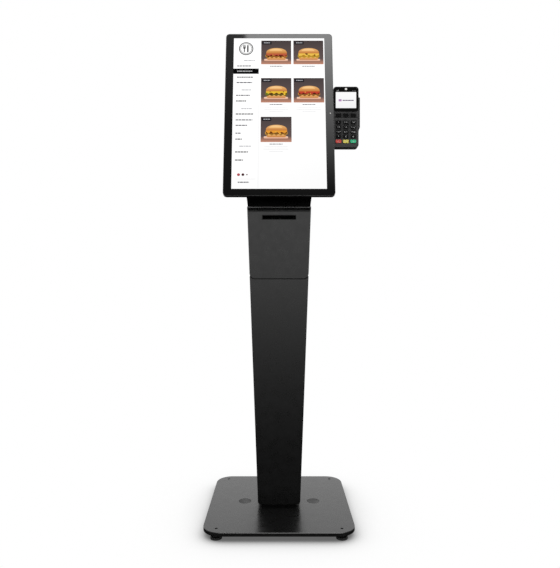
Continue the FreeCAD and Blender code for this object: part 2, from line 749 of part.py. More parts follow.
def printer_door():
    low = DOOR_BOTTOM_Z
    outside = [
        (front_y(low), low), (front_y(BEND_TANGENT_Z), BEND_TANGENT_Z), (HINGE_Y, HINGE_Z),
        (seam_y(HINGE_Z), HINGE_Z), (seam_y(low), low),
    ]
    outer = fused([side_profile(outside, -FAR, FAR), around_hinge(DOOR_BEND_R)])
    outer = column_block(0, COLUMN_Z, NECK_TOP_Z).common(outer)
    inner_r = DOOR_BEND_R - SHEET * math.cos(LEAN)
    tangent_z = HINGE_Z - inner_r * math.sin(LEAN)
    low -= 1
    behind_front = [
        (front_y(low) + SHEET, low), (front_y(tangent_z) + SHEET, tangent_z),
        (HINGE_Y, HINGE_Z), (FAR, HINGE_Z), (FAR, low),
    ]
    bend_end_z = HINGE_Z + DOOR_BEND_R * math.sin(math.radians(DOOR_BEND_END_DEG))
    behind_bend = box(-FAR, FAR, HINGE_Y, FAR, HINGE_Z - 1, bend_end_z)
    inner = fused([side_profile(behind_front, -FAR, FAR), around_hinge(inner_r), behind_bend])
    door = outer.cut(column_block(SHEET, COLUMN_Z, NECK_TOP_Z).common(inner))
    corner_z = DOOR_BOTTOM_Z + DOOR_CORNER_R
    door = door.cut(corner_cutter(half_x(corner_z) - DOOR_CORNER_R, corner_z, DOOR_CORNER_R))
    half_w = SLOT_WIDTH / 2
    half_h = SLOT_HEIGHT / 2
    door = door.cut(box(-half_w, half_w, -FAR, HINGE_Y, SLOT_Z - half_h, SLOT_Z + half_h))
    return door.cut(around_hinge(PIVOT_BUSH_R))


def sheet_behind_front(z0, z1, from_front, to_front, half_width):
    """A flat sheet parallel to the column's front, between two distances behind it."""
    outline = [
        (front_y(z0) + from_front, z0), (front_y(z1) + from_front, z1),
        (front_y(z1) + to_front, z1), (front_y(z0) + to_front, z0),
    ]
    return side_profile(outline, -half_width, half_width)


def receipt_slot_bezel():
    """Plastic frame set in the slot from behind."""
    half_w = SLOT_WIDTH / 2 - BEZEL_GAP
    half_h = SLOT_HEIGHT / 2 - BEZEL_GAP
    low, high = SLOT_Z - half_h, SLOT_Z + half_h
    back = SHEET + BEZEL_FLANGE_THICK
    spigot = sheet_behind_front(low, high, BEZEL_RECESS, back, half_w)
    flange_half = half_w + BEZEL_FLANGE
    flange = sheet_behind_front(low - BEZEL_FLANGE, high + BEZEL_FLANGE, SHEET, back, flange_half)
    mouth_half = half_w - BEZEL_WALL
    mouth = box(-mouth_half, mouth_half, -FAR, 0, low + BEZEL_WALL, high - BEZEL_WALL)
    return spigot.fuse(flange).removeSplitter().cut(mouth)


def door_pivot_bushes():
    x0, x1 = PIVOT_BUSH_X
    ring = rod_x(HINGE_Y, HINGE_Z, PIVOT_BUSH_R, x0, x1)
    bore = rod_x(HINGE_Y, HINGE_Z, PIVOT_PIN_R + RUNNING_GAP, x0 - 1, x1 + 1)
    return both_sides(ring.cut(bore))


def door_pivot_pins():
    head_x = PIVOT_PLATE_X - PLATE_THICK
    x0 = head_x - PIVOT_HEAD_THICK
    pin = rod_x(HINGE_Y, HINGE_Z, PIVOT_PIN_R, x0, PIVOT_BUSH_X[1] + PIVOT_PIN_END)
    head = rod_x(HINGE_Y, HINGE_Z, PIVOT_PIN_R + PIVOT_HEAD_RIM, x0, head_x)
    return both_sides(fused([pin, head]))


def door_hinge_plates():
    """Two plates that reach up to the door's hinge line from below, each with a pad on its
    outer face where it is welded to the side wall."""
    reach = PIVOT_PIN_R + PLATE_RIM
    low = HINGE_Z - PLATE_DROP
    slope = reach * math.sqrt(0.5)
    outline = [
        (HINGE_Y - reach, HINGE_Z), (HINGE_Y + slope, HINGE_Z - slope),
        (HINGE_Y + PLATE_DEPTH, HINGE_Z - PLATE_DEPTH), (HINGE_Y + PLATE_DEPTH, low),
        (HINGE_Y - reach, low),
    ]
    inner_x = PIVOT_PLATE_X - PLATE_THICK
    plate = fused([
        side_profile(outline, inner_x, FAR),
        rod_x(HINGE_Y, HINGE_Z, reach, inner_x, FAR),
    ])
    pad_low, pad_high = PLATE_PAD_Z
    back = HINGE_Y + PLATE_DEPTH
    pad = box(PIVOT_PLATE_X, FAR, back - PLATE_PAD_DEPTH, back, HINGE_Z - pad_low, HINGE_Z - pad_high)
    plate = fused([in_column(plate, PLATE_GAP), in_column(pad, RUNNING_GAP)])
    return both_sides(plate.cut(around_hinge(PIVOT_PIN_R)))


def door_magnets():
    """Two magnets on the shelf's lip that hold the door shut."""
    magnets = []
    for x in MAGNET_X:
        block = box(x, x + MAGNET_WIDTH, SHELF_LIP_Y - MAGNET_REACH, SHELF_LIP_Y, *MAGNET_Z)
        magnets.append(rounded(block, V(0, 1, 0), MAGNET_CORNER_R))
    return Part.makeCompound(magnets)


# Printer

PRINTER_FLOOR_Z = SHELF_Z + SHELF_THICK
LID_Z = (PRINTER_TOP_Z + LID_LIFT, PRINTER_TOP_Z + LID_LIFT + LID_THICK)
LID_HINGE_Z = sum(LID_Z) / 2
ROLL_Y = sum(BAY_Y) / 2
ROLL_Z = PRINTER_FLOOR_Z + BAY_FLOOR + ROLL_CLEAR + ROLL_R
ROLLER_Z = LID_Z[0] - ROLLER_DROP


def printer_shelf():
    """Folded shelf with a lip at its front that carries the door's magnets."""
    plate = in_column(box(-FAR, FAR, SHELF_FRONT_Y, FAR, SHELF_Z, PRINTER_FLOOR_Z), SHELF_GAP)
    half = SHELF_LIP_HALF_X
    tongue_back = SHELF_FRONT_Y + SHELF_TONGUE_LAP
    tongue = box(-half, half, SHELF_LIP_Y, tongue_back, SHELF_Z, PRINTER_FLOOR_Z)
    lip = box(-half, half, SHELF_LIP_Y, SHELF_LIP_Y + SHELF_THICK, SHELF_LIP_Z, PRINTER_FLOOR_Z)
    cable_x, cable_y, _ = CABLE_PATH[4]
    cable_slot = rod_z(cable_x, cable_y, CABLE_SLOT_R, SHELF_Z - 1, PRINTER_FLOOR_Z + 1)
    return fused([plate, tongue, lip]).cut(cable_slot)


def printer_body():
    """Printer case with an open paper bay, and two ears that hold the lid's hinge rod."""
    y0, y1 = PRINTER_Y
    half = PRINTER_HALF_X
    body = box(-half, half, y0, y1, PRINTER_FLOOR_Z, PRINTER_TOP_Z)
    body = rounded(body, V(0, 0, 1), PRINTER_CORNER_R)
    bay_floor = PRINTER_FLOOR_Z + BAY_FLOOR
    bay = box(-BAY_HALF_X, BAY_HALF_X, BAY_Y[0], BAY_Y[1], bay_floor, LID_Z[1])
    pieces = [body.cut(bay)]
    for x0 in (-half, half - LID_EAR_THICK):
        x1 = x0 + LID_EAR_THICK
        pieces.append(rod_x(LID_HINGE_Y, LID_HINGE_Z, LID_EAR_R, x0, x1))
        front, back = LID_HINGE_Y - LID_EAR_R, LID_HINGE_Y + LID_EAR_R
        pieces.append(box(x0, x1, front, back, PRINTER_TOP_Z - 1, LID_HINGE_Z))
    pieces.append(rod_x(LID_HINGE_Y, LID_HINGE_Z, LID_PIN_R, -half + 1, half - 1))
    return fused(pieces)


def printer_lid():
    """Flat lid with its hinge barrel behind and two cheeks that hold the roller in front."""
    half = PRINTER_HALF_X - LID_EAR_THICK - 1
    pieces = [
        box(-half, half, PRINTER_Y[0] + 2, LID_HINGE_Y, LID_Z[0], LID_Z[1]),
        rod_x(LID_HINGE_Y, LID_HINGE_Z, LID_BARREL_R, -half, half),
    ]
    cheek = ROLLER_CHEEK_HALF_Y
    inner = ROLLER_HALF + ROLLER_CHEEK_GAP
    for x0 in (inner, -inner - ROLLER_CHEEK_THICK):
        x1 = x0 + ROLLER_CHEEK_THICK
        pieces.append(box(x0, x1, ROLLER_Y - cheek, ROLLER_Y + cheek, ROLLER_Z - cheek, LID_Z[0] + 1))
    lid = fused(pieces)
    lid = lid.cut(rod_x(LID_HINGE_Y, LID_HINGE_Z, LID_PIN_R + RUNNING_GAP, -FAR, FAR))
    return lid.cut(rod_x(ROLLER_Y, ROLLER_Z, ROLLER_SHAFT_R + RUNNING_GAP, -FAR, FAR))


def platen_roller():
    reach = ROLLER_HALF + ROLLER_CHEEK_GAP + ROLLER_CHEEK_THICK + ROLLER_SHAFT_END
    shaft = rod_x(ROLLER_Y, ROLLER_Z, ROLLER_SHAFT_R, -reach, reach)
    return fused([rod_x(ROLLER_Y, ROLLER_Z, ROLLER_R, -ROLLER_HALF, ROLLER_HALF), shaft])


def paper_roll():
    roll = rod_x(ROLL_Y, ROLL_Z, ROLL_R, -ROLL_HALF, ROLL_HALF)
    return roll.cut(rod_x(ROLL_Y, ROLL_Z, ROLL_CORE_R, -FAR, FAR))


# Display, in its own axes: X, depth behind the glass, height up the glass


def display_slab(width, height, depth0, depth1, radius):
    """A round-cornered slab centred on the display."""
    low = (DISPLAY_H - height) / 2
    slab = box(-width / 2, width / 2, depth0, depth1, low, low + height)
    return rounded(slab, V(0, 1, 0), radius)


def display_frame():
    outer = display_slab(DISPLAY_W, DISPLAY_H, 0, BAND_DEPTH, DISPLAY_CORNER_R)
    seat = display_slab(
        DISPLAY_W - 2 * RIM, DISPLAY_H - 2 * RIM, -1, GLASS_THICK, DISPLAY_CORNER_R - RIM
    )
    window = display_slab(
        DISPLAY_W - 2 * LEDGE, DISPLAY_H - 2 * LEDGE, 0, BAND_DEPTH + 1, WINDOW_CORNER_R
    )
    return on_display(outer.cut(seat).cut(window))


def touch_glass():
    inset = RIM + GLASS_GAP
    width, height = DISPLAY_W - 2 * inset, DISPLAY_H - 2 * inset
    return on_display(
        display_slab(width, height, GLASS_RECESS, GLASS_THICK, DISPLAY_CORNER_R - inset)
    )


def lcd_panel():
    back = BAND_DEPTH - PANEL_BACK_GAP
    return on_display(display_slab(PANEL_W, PANEL_H, GLASS_THICK, back, PANEL_CORNER_R))


def housing_wire(width, height, depth, radius):
    """A round-cornered outline parallel to the glass at one depth."""
    wire = rounded_wire(width / 2, -height / 2, height / 2, 0, radius)
    wire.rotate(V(0, 0, 0), V(1, 0, 0), 90)
    wire.translate(V(0, depth, DISPLAY_H / 2))
    return wire


def housing_block(inset, depth0, depth1):
    """The housing's tapered outline between two depths, drawn in by inset."""
    edge = 2 * (RIM + inset)
    wide = housing_wire(DISPLAY_W - edge, DISPLAY_H - edge, depth0, DISPLAY_CORNER_R - RIM)
    width, height = HOUSING_FLAT_W - 2 * inset, HOUSING_FLAT_H - 2 * inset
    flat = housing_wire(width, height, depth1, HOUSING_FLAT_R)
    return Part.makeLoft([wide, flat], True, True)


def vesa_places():
    """(x, height) of the four screws behind the display."""
    middle = DISPLAY_H / 2
    return [(x, middle + v) for x in (-VESA_HALF, VESA_HALF) for v in (-VESA_HALF, VESA_HALF)]


def display_rear_housing():
    """Tapered back cover: a hollow tray with two banks of vents and four screw holes."""
    outer = housing_block(0, BAND_DEPTH, HOUSING_DEPTH)
    inner = housing_block(HOUSING_WALL + HOUSING_LIP, BAND_DEPTH - 0.01, HOUSING_DEPTH - HOUSING_WALL)
    tray = outer.cut(inner)
    inside = HOUSING_DEPTH - HOUSING_WALL - 1
    outside = HOUSING_DEPTH + 1
    wide, tall = HOUSING_VENT_HALF_X, HOUSING_VENT_HALF_V
    for side in (-1, 1):
        for i in range(HOUSING_VENTS):
            v = DISPLAY_H / 2 + side * (HOUSING_VENT_FROM + HOUSING_VENT_PITCH * i)
            tray = tray.cut(box(-wide, wide, inside, outside, v - tall, v + tall))
    for x, v in vesa_places():
        tray = tray.cut(rod_y(x, v, VESA_HOLE_R, inside, outside))
    return on_display(tray)


def main_board():
    """Circuit board on four posts behind the panel, with its heat sink and sockets."""
    middle = DISPLAY_H / 2
    wide, tall = BOARD_HALF
    back = BOARD_DEPTH + BOARD_THICK
    pieces = [box(-wide, wide, BOARD_DEPTH, back, middle - tall, middle + tall)]
    post_x, post_v = wide - BOARD_POST_INSET, tall - BOARD_POST_INSET
    for x in (-post_x, post_x):
        for v in (middle - post_v, middle + post_v):
            pieces.append(rod_y(x, v, BOARD_POST_R, BAND_DEPTH - PANEL_BACK_GAP, BOARD_DEPTH + 0.5))
    sink = HEAT_SINK_HALF
    pieces.append(box(-sink, sink, back - 0.6, back + HEAT_SINK_THICK, middle - sink, middle + sink))
    width, depth, height = SOCKET_SIZE
    low = middle - tall
    for i in range(SOCKET_COUNT):
        x = SOCKET_FIRST_X + SOCKET_PITCH * i
        pieces.append(box(x, x + width, BOARD_DEPTH - depth, BOARD_DEPTH + 1, low, low + height))
    return on_display(fused(pieces))


def display_bracket():
    """Plate screwed to the back of the display, with two ears that turn on the tilt pin."""
    middle = DISPLAY_H / 2
    half = VESA_PLATE_HALF
    back = HOUSING_DEPTH + VESA_PLATE_THICK
    plate = box(-half, half, HOUSING_DEPTH, back, middle - half, middle + half)
    pieces = [rounded(plate, V(0, 1, 0), half - VESA_HALF - 2)]
    outer = TILT_PIN_R + TILT_EAR_WALL
    for x0, x1 in (TILT_EAR_X, (-TILT_EAR_X[1], -TILT_EAR_X[0])):
        pieces.append(box(x0, x1, back - 1, PIVOT_DEPTH, middle - outer, middle + outer))
        pieces.append(rod_x(PIVOT_DEPTH, middle, outer, x0, x1))
    bracket = fused(pieces)
    bracket = bracket.cut(rod_x(PIVOT_DEPTH, middle, TILT_PIN_R + RUNNING_GAP, -FAR, FAR))
    for x, v in vesa_places():
        bracket = bracket.cut(rod_y(x, v, VESA_HOLE_R, HOUSING_DEPTH - 1, back + 1))
    return on_display(bracket)


def display_screws():
    back = HOUSING_DEPTH + VESA_PLATE_THICK
    tip = HOUSING_DEPTH - HOUSING_WALL - SCREW_TIP
    screws = []
    for x, v in vesa_places():
        shank = rod_y(x, v, SCREW_R, tip, back + 0.5)
        screws.append(fused([shank, rod_y(x, v, SCREW_HEAD_R, back, back + SCREW_HEAD_THICK)]))
    return on_display(Part.makeCompound(screws))


def terminal_arm():
    """Z-shaped flat bar from the display's back to behind the card terminal, with two ears."""
    v0, v1 = ARM_V
    far = ARM_BACK_DEPTH + ARM_THICK
    step = ARM_STEP_X
    pieces = [
        box(ARM_START_X, step + ARM_THICK, HOUSING_DEPTH, HOUSING_DEPTH + ARM_THICK, v0, v1),
        box(step, step + ARM_THICK, HOUSING_DEPTH, far, v0, v1),
        box(step, ARM_END_X, ARM_BACK_DEPTH, far, v0, v1),
    ]
    outer = ARM_PIN_R + ARM_EAR_WALL
    for x0, x1 in (ARM_EAR_X, (-ARM_EAR_X[1], -ARM_EAR_X[0])):
        left, right = TERMINAL_X + x0, TERMINAL_X + x1
        low, high = ARM_PIVOT_V - outer, ARM_PIVOT_V + outer
        pieces.append(box(left, right, ARM_PIVOT_DEPTH, ARM_BACK_DEPTH + 1, low, high))
        pieces.append(rod_x(ARM_PIVOT_DEPTH, ARM_PIVOT_V, outer, left, right))
    arm = fused(pieces)
    arm = arm.cut(rod_x(ARM_PIVOT_DEPTH, ARM_PIVOT_V, ARM_PIN_R, TERMINAL_X - ARM_EAR_X[1], FAR))
    return on_display(arm)


def terminal_pin():
    half = ARM_EAR_X[1]
    x0, x1 = TERMINAL_X - half, TERMINAL_X + half
    head_r = ARM_PIN_R + ARM_PIN_HEAD_RIM
    head_thick = ARM_PIN_HEAD_THICK
    pin = rod_x(ARM_PIVOT_DEPTH, ARM_PIVOT_V, ARM_PIN_R, x0 - 1, x1 + 1)
    left = rod_x(ARM_PIVOT_DEPTH, ARM_PIVOT_V, head_r, x0 - head_thick, x0)
    right = rod_x(ARM_PIVOT_DEPTH, ARM_PIVOT_V, head_r, x1, x1 + head_thick)
    return on_display(fused([pin, left, right]))


# Card terminal

TERMINAL_LOW_Z = TERMINAL_Z - TERMINAL_H / 2
TERMINAL_HIGH_Z = TERMINAL_Z + TERMINAL_H / 2
TERMINAL_HALF = TERMINAL_W / 2
KEY_COLUMNS = [TERMINAL_X + KEY_SHIFT_X + KEY_PITCH_X * i for i in (-1, 0, 1)]
DIGIT_NAMES = ("1", "2", "3", "4", "5", "6", "7", "8", "9", "star", "0", "hash")
COLOUR_NAMES = ("cancel", "clear", "enter")
MENU_NAMES = ("menu_left", "menu_middle", "menu_right")


def key_places():
    """Every key's name with its centre and width."""
    places = {}
    for i, name in enumerate(DIGIT_NAMES):
        places["key_" + name] = (KEY_COLUMNS[i % 3], DIGIT_ROWS_Z[i // 3], KEY_WIDTH)
    for x, name in zip(KEY_COLUMNS, COLOUR_NAMES):
        places["key_" + name] = (x, COLOUR_ROW_Z, COLOUR_KEY_WIDTH)
    for x, name in zip(KEY_COLUMNS, MENU_NAMES):
        places["key_" + name] = (x, MENU_ROW_Z, MENU_KEY_WIDTH)
    return places


def terminal_block(inset, y0, y1):
    """The terminal's round-cornered outline between two depths."""
    half = TERMINAL_HALF - inset
    block = box(
        TERMINAL_X - half, TERMINAL_X + half, y0, y1,
        TERMINAL_LOW_Z + inset, TERMINAL_HIGH_Z - inset,
    )
    return rounded(block, V(0, 1, 0), TERMINAL_CORNER_R - inset)


def key_opening(x, z, width):
    half_w = width / 2 + KEY_GAP
    half_h = KEY_HEIGHT / 2 + KEY_GAP
    hole = box(
        x - half_w, x + half_w, TERMINAL_FRONT_Y - 1, TERMINAL_FRONT_Y + CASE_WALL + 1,
        z - half_h, z + half_h,
    )
    return rounded(hole, V(0, 1, 0), KEY_OPENING_R)


def lens_block(gap, y1):
    half = TERMINAL_HALF - LENS_MARGIN + gap
    block = box(
        TERMINAL_X - half, TERMINAL_X + half, TERMINAL_FRONT_Y, y1,
        LENS_BOTTOM_Z - gap, TERMINAL_HIGH_Z - LENS_MARGIN + gap,
    )
    return rounded(block, V(0, 1, 0), TERMINAL_CORNER_R - LENS_MARGIN)


def terminal_upper_case():
    case = terminal_block(0, TERMINAL_FRONT_Y, TERMINAL_SPLIT_Y)
    front_rim = [e for e in case.Edges if e.BoundBox.YMax < TERMINAL_FRONT_Y + 0.01]
    case = case.makeFillet(CASE_FRONT_R, front_rim)
    cavity = terminal_block(CASE_WALL, TERMINAL_FRONT_Y + CASE_WALL, TERMINAL_SPLIT_Y + 1)
    case = case.cut(cavity)
    pocket_floor = TERMINAL_FRONT_Y + LENS_THICK
    case = case.cut(lens_block(0.1, pocket_floor))
    for x, z, width in key_places().values():
        case = case.cut(key_opening(x, z, width))
    return case


def terminal_lower_case():
    case = terminal_block(0, TERMINAL_SPLIT_Y, TERMINAL_BACK_Y)
    back_rim = [e for e in case.Edges if e.BoundBox.YMin > TERMINAL_BACK_Y - 0.01]
    case = case.makeFillet(CASE_BACK_R, back_rim)
    floor_y = TERMINAL_BACK_Y - 2 * CASE_WALL
    cavity = terminal_block(CASE_WALL, TERMINAL_SPLIT_Y - 1, floor_y)
    return case.cut(cavity)


def terminal_screen_lens():
    lens = lens_block(0, TERMINAL_FRONT_Y + LENS_THICK)
    rim = [e for e in lens.Edges if e.BoundBox.YMax < TERMINAL_FRONT_Y + 0.01]
    return lens.makeChamfer(LENS_CHAMFER, rim)


def terminal_swipe_rail():
    """Guide for card strips on the terminal's right side, with sloped ends."""
    x0 = TERMINAL_X + TERMINAL_HALF
    x1 = x0 + RAIL_WIDTH
    z0, z1 = RAIL_Z
    y0, y1 = RAIL_Y
    low_slope, high_slope = RAIL_SLOPES
    corners = [V(x0, y0, z0), V(x1, y0, z0 + low_slope), V(x1, y0, z1 - high_slope), V(x0, y0, z1)]
    corners.append(corners[0])
    rail = Part.Face(Part.makePolygon(corners)).extrude(V(0, y1 - y0, 0))
    left, right = RAIL_SLOT_X
    return rail.cut(box(x0 + left, x0 + right, y0 - 1, RAIL_SLOT_END_Y, z0 - 1, z1 + 1))


def terminal_cradle():
    """Plate on the terminal's back with a knuckle that turns on the terminal pin."""
    pivot_y, pivot_z = display_point(ARM_PIVOT_DEPTH, ARM_PIVOT_V)
    back = TERMINAL_BACK_Y + CRADLE_THICK
    plate = box(
        TERMINAL_X - CRADLE_HALF_X, TERMINAL_X + CRADLE_HALF_X, TERMINAL_BACK_Y, back, *CRADLE_Z
    )
    plate = rounded(plate, V(0, 1, 0), CRADLE_CORNER_R)
    reach = ARM_EAR_X[0] - CRADLE_SIDE_GAP
    x0, x1 = TERMINAL_X - reach, TERMINAL_X + reach
    web = box(x0, x1, back - 1, pivot_y, pivot_z - CRADLE_WEB_HALF, pivot_z + CRADLE_WEB_HALF)
    barrel = rod_x(pivot_y, pivot_z, ARM_PIN_R + CRADLE_BARREL_WALL, x0, x1)
    bore = rod_x(pivot_y, pivot_z, ARM_PIN_R + RUNNING_GAP, x0 - 1, x1 + 1)
    return fused([plate, web, barrel]).cut(bore)


def terminal_key(x, z, width):
    """A cap that stands out of its opening, with a flange behind the wall that keeps it in."""
    half_w = width / 2
    half_h = KEY_HEIGHT / 2
    wall_back = TERMINAL_FRONT_Y + CASE_WALL
    cap = box(
        x - half_w, x + half_w, TERMINAL_FRONT_Y - KEY_PROUD, wall_back + 2,
        z - half_h, z + half_h,
    )
    cap = rounded(cap, V(0, 1, 0), KEY_CORNER_R)
    front = [e for e in cap.Edges if e.BoundBox.YMax < TERMINAL_FRONT_Y - KEY_PROUD + 0.01]
    cap = cap.makeFillet(KEY_FRONT_R, front)
    flange_front = wall_back + RUNNING_GAP
    flange = box(
        x - half_w - KEY_FLANGE, x + half_w + KEY_FLANGE,
        flange_front, flange_front + KEY_FLANGE_THICK,
        z - half_h - KEY_FLANGE, z + half_h + KEY_FLANGE,
    )
    return fused([cap, flange])


PIECES = {
    "base_plate": base_plate,
    "anchor_hole_plugs": anchor_hole_plugs,
    "column_plinth": column_plinth,
    "base_bolts": base_bolts,
    "column_rear_shell": column_rear_shell,
    "column_front_cover": column_front_cover,
    "rear_service_cover": rear_service_cover,
    "power_inlet": power_inlet,
    "power_supply": power_supply,
    "display_cable": display_cable,
    "printer_shelf": printer_shelf,
    "printer_body": printer_body,
    "door_pivot_pins": door_pivot_pins,
    "door_hinge_plates": door_hinge_plates,
    "door_magnets": door_magnets,
    "neck_front_cover": neck_front_cover,
    "head_bracket": head_bracket,
    "tilt_pin": tilt_pin,
    "printer_door": printer_door,
    "receipt_slot_bezel": receipt_slot_bezel,
    "door_pivot_bushes": door_pivot_bushes,
    "printer_lid": printer_lid,
    "platen_roller": platen_roller,
    "paper_roll": paper_roll,
    "display_frame": display_frame,
    "touch_glass": touch_glass,
    "lcd_panel": lcd_panel,
    "display_rear_housing": display_rear_housing,
    "main_board": main_board,
    "display_bracket": display_bracket,
    "display_screws": display_screws,
    "terminal_arm": terminal_arm,
    "terminal_pin": terminal_pin,
    "terminal_cradle": terminal_cradle,
    "terminal_lower_case": terminal_lower_case,
    "terminal_upper_case": terminal_upper_case,
    "terminal_screen_lens": terminal_screen_lens,
    "terminal_swipe_rail": terminal_swipe_rail,
}


def write_piece(name, shape):
    shape.exportStep("parts/" + name + ".step")


os.makedirs("parts", exist_ok=True)
for piece_name, make_piece in PIECES.items():
    write_piece(piece_name, make_piece())
for corner, (foot_x, foot_y) in FOOT_PLACES.items():
    write_piece("foot_" + corner, levelling_foot(foot_x, foot_y))
for key_name, (key_x, key_z, key_width) in key_places().items():
    write_piece(key_name, terminal_key(key_x, key_z, key_width))
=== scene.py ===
"""Looks for the ordering kiosk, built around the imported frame. Lengths are in metres, in the
frame's own axes: +X to the user's right, +Y away from the user, +Z up. Sizes that end in _MM
are in millimetres."""

import json
import math
import random

import bpy
from mathutils import Matrix, Vector


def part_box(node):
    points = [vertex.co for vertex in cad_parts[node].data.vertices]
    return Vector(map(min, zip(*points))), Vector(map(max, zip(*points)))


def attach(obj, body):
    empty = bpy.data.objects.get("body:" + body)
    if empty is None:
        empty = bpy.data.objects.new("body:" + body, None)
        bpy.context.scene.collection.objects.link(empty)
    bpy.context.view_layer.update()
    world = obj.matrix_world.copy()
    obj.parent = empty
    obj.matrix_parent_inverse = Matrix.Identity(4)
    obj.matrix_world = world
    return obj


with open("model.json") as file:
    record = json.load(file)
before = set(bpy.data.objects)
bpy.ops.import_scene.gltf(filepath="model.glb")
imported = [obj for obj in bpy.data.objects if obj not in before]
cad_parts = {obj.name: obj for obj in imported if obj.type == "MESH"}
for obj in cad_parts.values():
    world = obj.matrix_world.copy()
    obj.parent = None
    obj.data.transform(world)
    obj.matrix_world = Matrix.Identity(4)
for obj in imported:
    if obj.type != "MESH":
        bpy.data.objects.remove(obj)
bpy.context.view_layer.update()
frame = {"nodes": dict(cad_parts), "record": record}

MM = 0.001
TILT = math.radians(11.33)

# Camera: level, at chest height, with the object slightly left of and above the middle
CAMERA_PLACE = (0.0, -1.6386, 0.699)
CAMERA_LENS = 33.7
CAMERA_SHIFT = (0.0016, -0.0026)

# Display picture, in millimetres: x from the centre line, drop from the top of the lit area
LIT_W, LIT_H = 272.0, 480.0
LIT_BOTTOM = 20.0
GLASS_THICK = 2.8
LAYER_MM = 0.018
SIDEBAR_RIGHT = -60.0
TILE_W, TILE_H = 90.0, 79.5
TILE_X = (-53.7, 42.9)
TILE_DROP = (7.4, 132.3, 257.5)
TILE_COUNT = 5
WORD_GAP = 0.4

# Card terminal, in millimetres
TERMINAL_SCREEN = (61.0, 48.0)
TERMINAL_SCREEN_RISE = 50.5
DIGITS = {
    "key_1": "1", "key_2": "2 abc", "key_3": "3 def", "key_4": "4 ghi", "key_5": "5 jkl",
    "key_6": "6 mno", "key_7": "7 pqrs", "key_8": "8 tuv", "key_9": "9 wxyz", "key_star": "*",
    "key_0": "0", "key_hash": "#", "key_cancel": "x", "key_clear": "<", "key_enter": "o",
}
MENU_KEYS = ("key_menu_left", "key_menu_middle", "key_menu_right")
COLOURED_KEYS = ("key_cancel", "key_clear", "key_enter")
LEGEND_SIZE, WIDE_LEGEND_SIZE = 7.0, 4.6
# Painted shade round each black key: its gap from the key and its width, in millimetres
SHADE_RING_GAP, SHADE_RING_WIDTH = 0.35, 1.5

# Floor shadow: how far it reaches in metres, how steeply it darkens, its brightness away from
# the object, and its brightness under the base
SHADOW_REACH = 0.25
SHADOW_POWER = 1.3
SHADOW_GAIN = 1.0
SHADOW_DARKEST = 0.13


# Shader nodes


def node(tree, kind, inputs=None, **settings):
    """A new shader node. A value in inputs is a number, a colour or another node's output."""
    made = tree.nodes.new(kind)
    for key, value in settings.items():
        setattr(made, key, value)
    for key, value in (inputs or {}).items():
        if isinstance(value, bpy.types.NodeSocket):
            tree.links.new(value, made.inputs[key])
        else:
            made.inputs[key].default_value = value
    return made


def linear(red, green, blue):
    """A linear colour from display values of 0 to 255."""
    channels = []
    for value in (red, green, blue):
        share = value / 255
        channels.append(share / 12.92 if share <= 0.04045 else ((share + 0.055) / 1.055) ** 2.4)
    return (*channels, 1.0)


def grey(value):
    return (value, value, value, 1.0)


def place_on_object(tree):
    return node(tree, "ShaderNodeTexCoord").outputs["Object"]


def noise(tree, scale, detail=4.0, stretch=(1, 1, 1)):
    mapped = node(tree, "ShaderNodeMapping", {"Vector": place_on_object(tree), "Scale": stretch})
    made = node(tree, "ShaderNodeTexNoise", {
        "Vector": mapped.outputs["Vector"], "Scale": scale, "Detail": detail,
    })
    return made.outputs["Fac"]


def span(tree, value, low, high, from_low=0.3, from_high=0.7):
    """The value brought from one range to another."""
    made = node(tree, "ShaderNodeMapRange", {
        "Value": value, "From Min": from_low, "From Max": from_high, "To Min": low, "To Max": high,
    })
    return made.outputs["Result"]


def math_node(tree, operation, first, second):
    made = node(tree, "ShaderNodeMath", {0: first, 1: second}, operation=operation)
    return made.outputs["Value"]


def blank_material(name):
    material = bpy.data.materials.new(name)
    material.use_nodes = True
    return material, material.node_tree, material.node_tree.nodes["Principled BSDF"]


def surface(name, colour, roughness, grain, mottle=0.15, stretch=(1, 1, 1), metallic=0.0, specular=0.5):
    """A finish whose colour, gloss and fine relief all vary. Roughness is its lowest and
    highest value, and grain is the relief's scale per metre and its height in metres."""
    material, tree, shader = blank_material(name)
    clouds = noise(tree, 14.0)
    low = tuple(c * (1 - mottle) for c in colour[:3]) + (1.0,)
    high = tuple(min(1.0, c * (1 + mottle)) for c in colour[:3]) + (1.0,)
    tint = node(tree, "ShaderNodeMixRGB", {
        "Fac": span(tree, clouds, 0, 1), "Color1": low, "Color2": high,
    })
    grain_scale, height = grain
    relief = noise(tree, grain_scale, 3.0, stretch)
    bump = node(tree, "ShaderNodeBump", {"Height": relief, "Distance": height, "Strength": 1.0})
    patches = noise(tree, 45.0, 5.0, stretch)
    tree.links.new(tint.outputs["Color"], shader.inputs["Base Color"])
    tree.links.new(span(tree, patches, *roughness), shader.inputs["Roughness"])
    tree.links.new(bump.outputs["Normal"], shader.inputs["Normal"])
    shader.inputs["Metallic"].default_value = metallic
    shader.inputs["Specular IOR Level"].default_value = specular
    return material


# Finishes, one function for each material slot of the record


def stand_powder_coat():
    return surface("stand_powder_coat", grey(0.001), (0.26, 0.31), (900.0, 0.00003), 0.3)


def dark_steel():
    return surface("dark_steel", grey(0.012), (0.38, 0.52), (700.0, 0.00003))


def zinc_steel():
    return surface(
        "zinc_steel", (0.55, 0.56, 0.58, 1), (0.25, 0.42), (300.0, 0.00002), 0.12, (1, 6, 1), 1.0
    )


def black_plastic():
    return surface("black_plastic", grey(0.004), (0.40, 0.55), (1400.0, 0.00003), specular=0.35)


def cable_rubber():
    return surface("cable_rubber", grey(0.012), (0.55, 0.7), (600.0, 0.00003))


def roller_rubber():
    return surface("roller_rubber", grey(0.03), (0.6, 0.75), (1200.0, 0.00003), 0.2, (4, 1, 1))


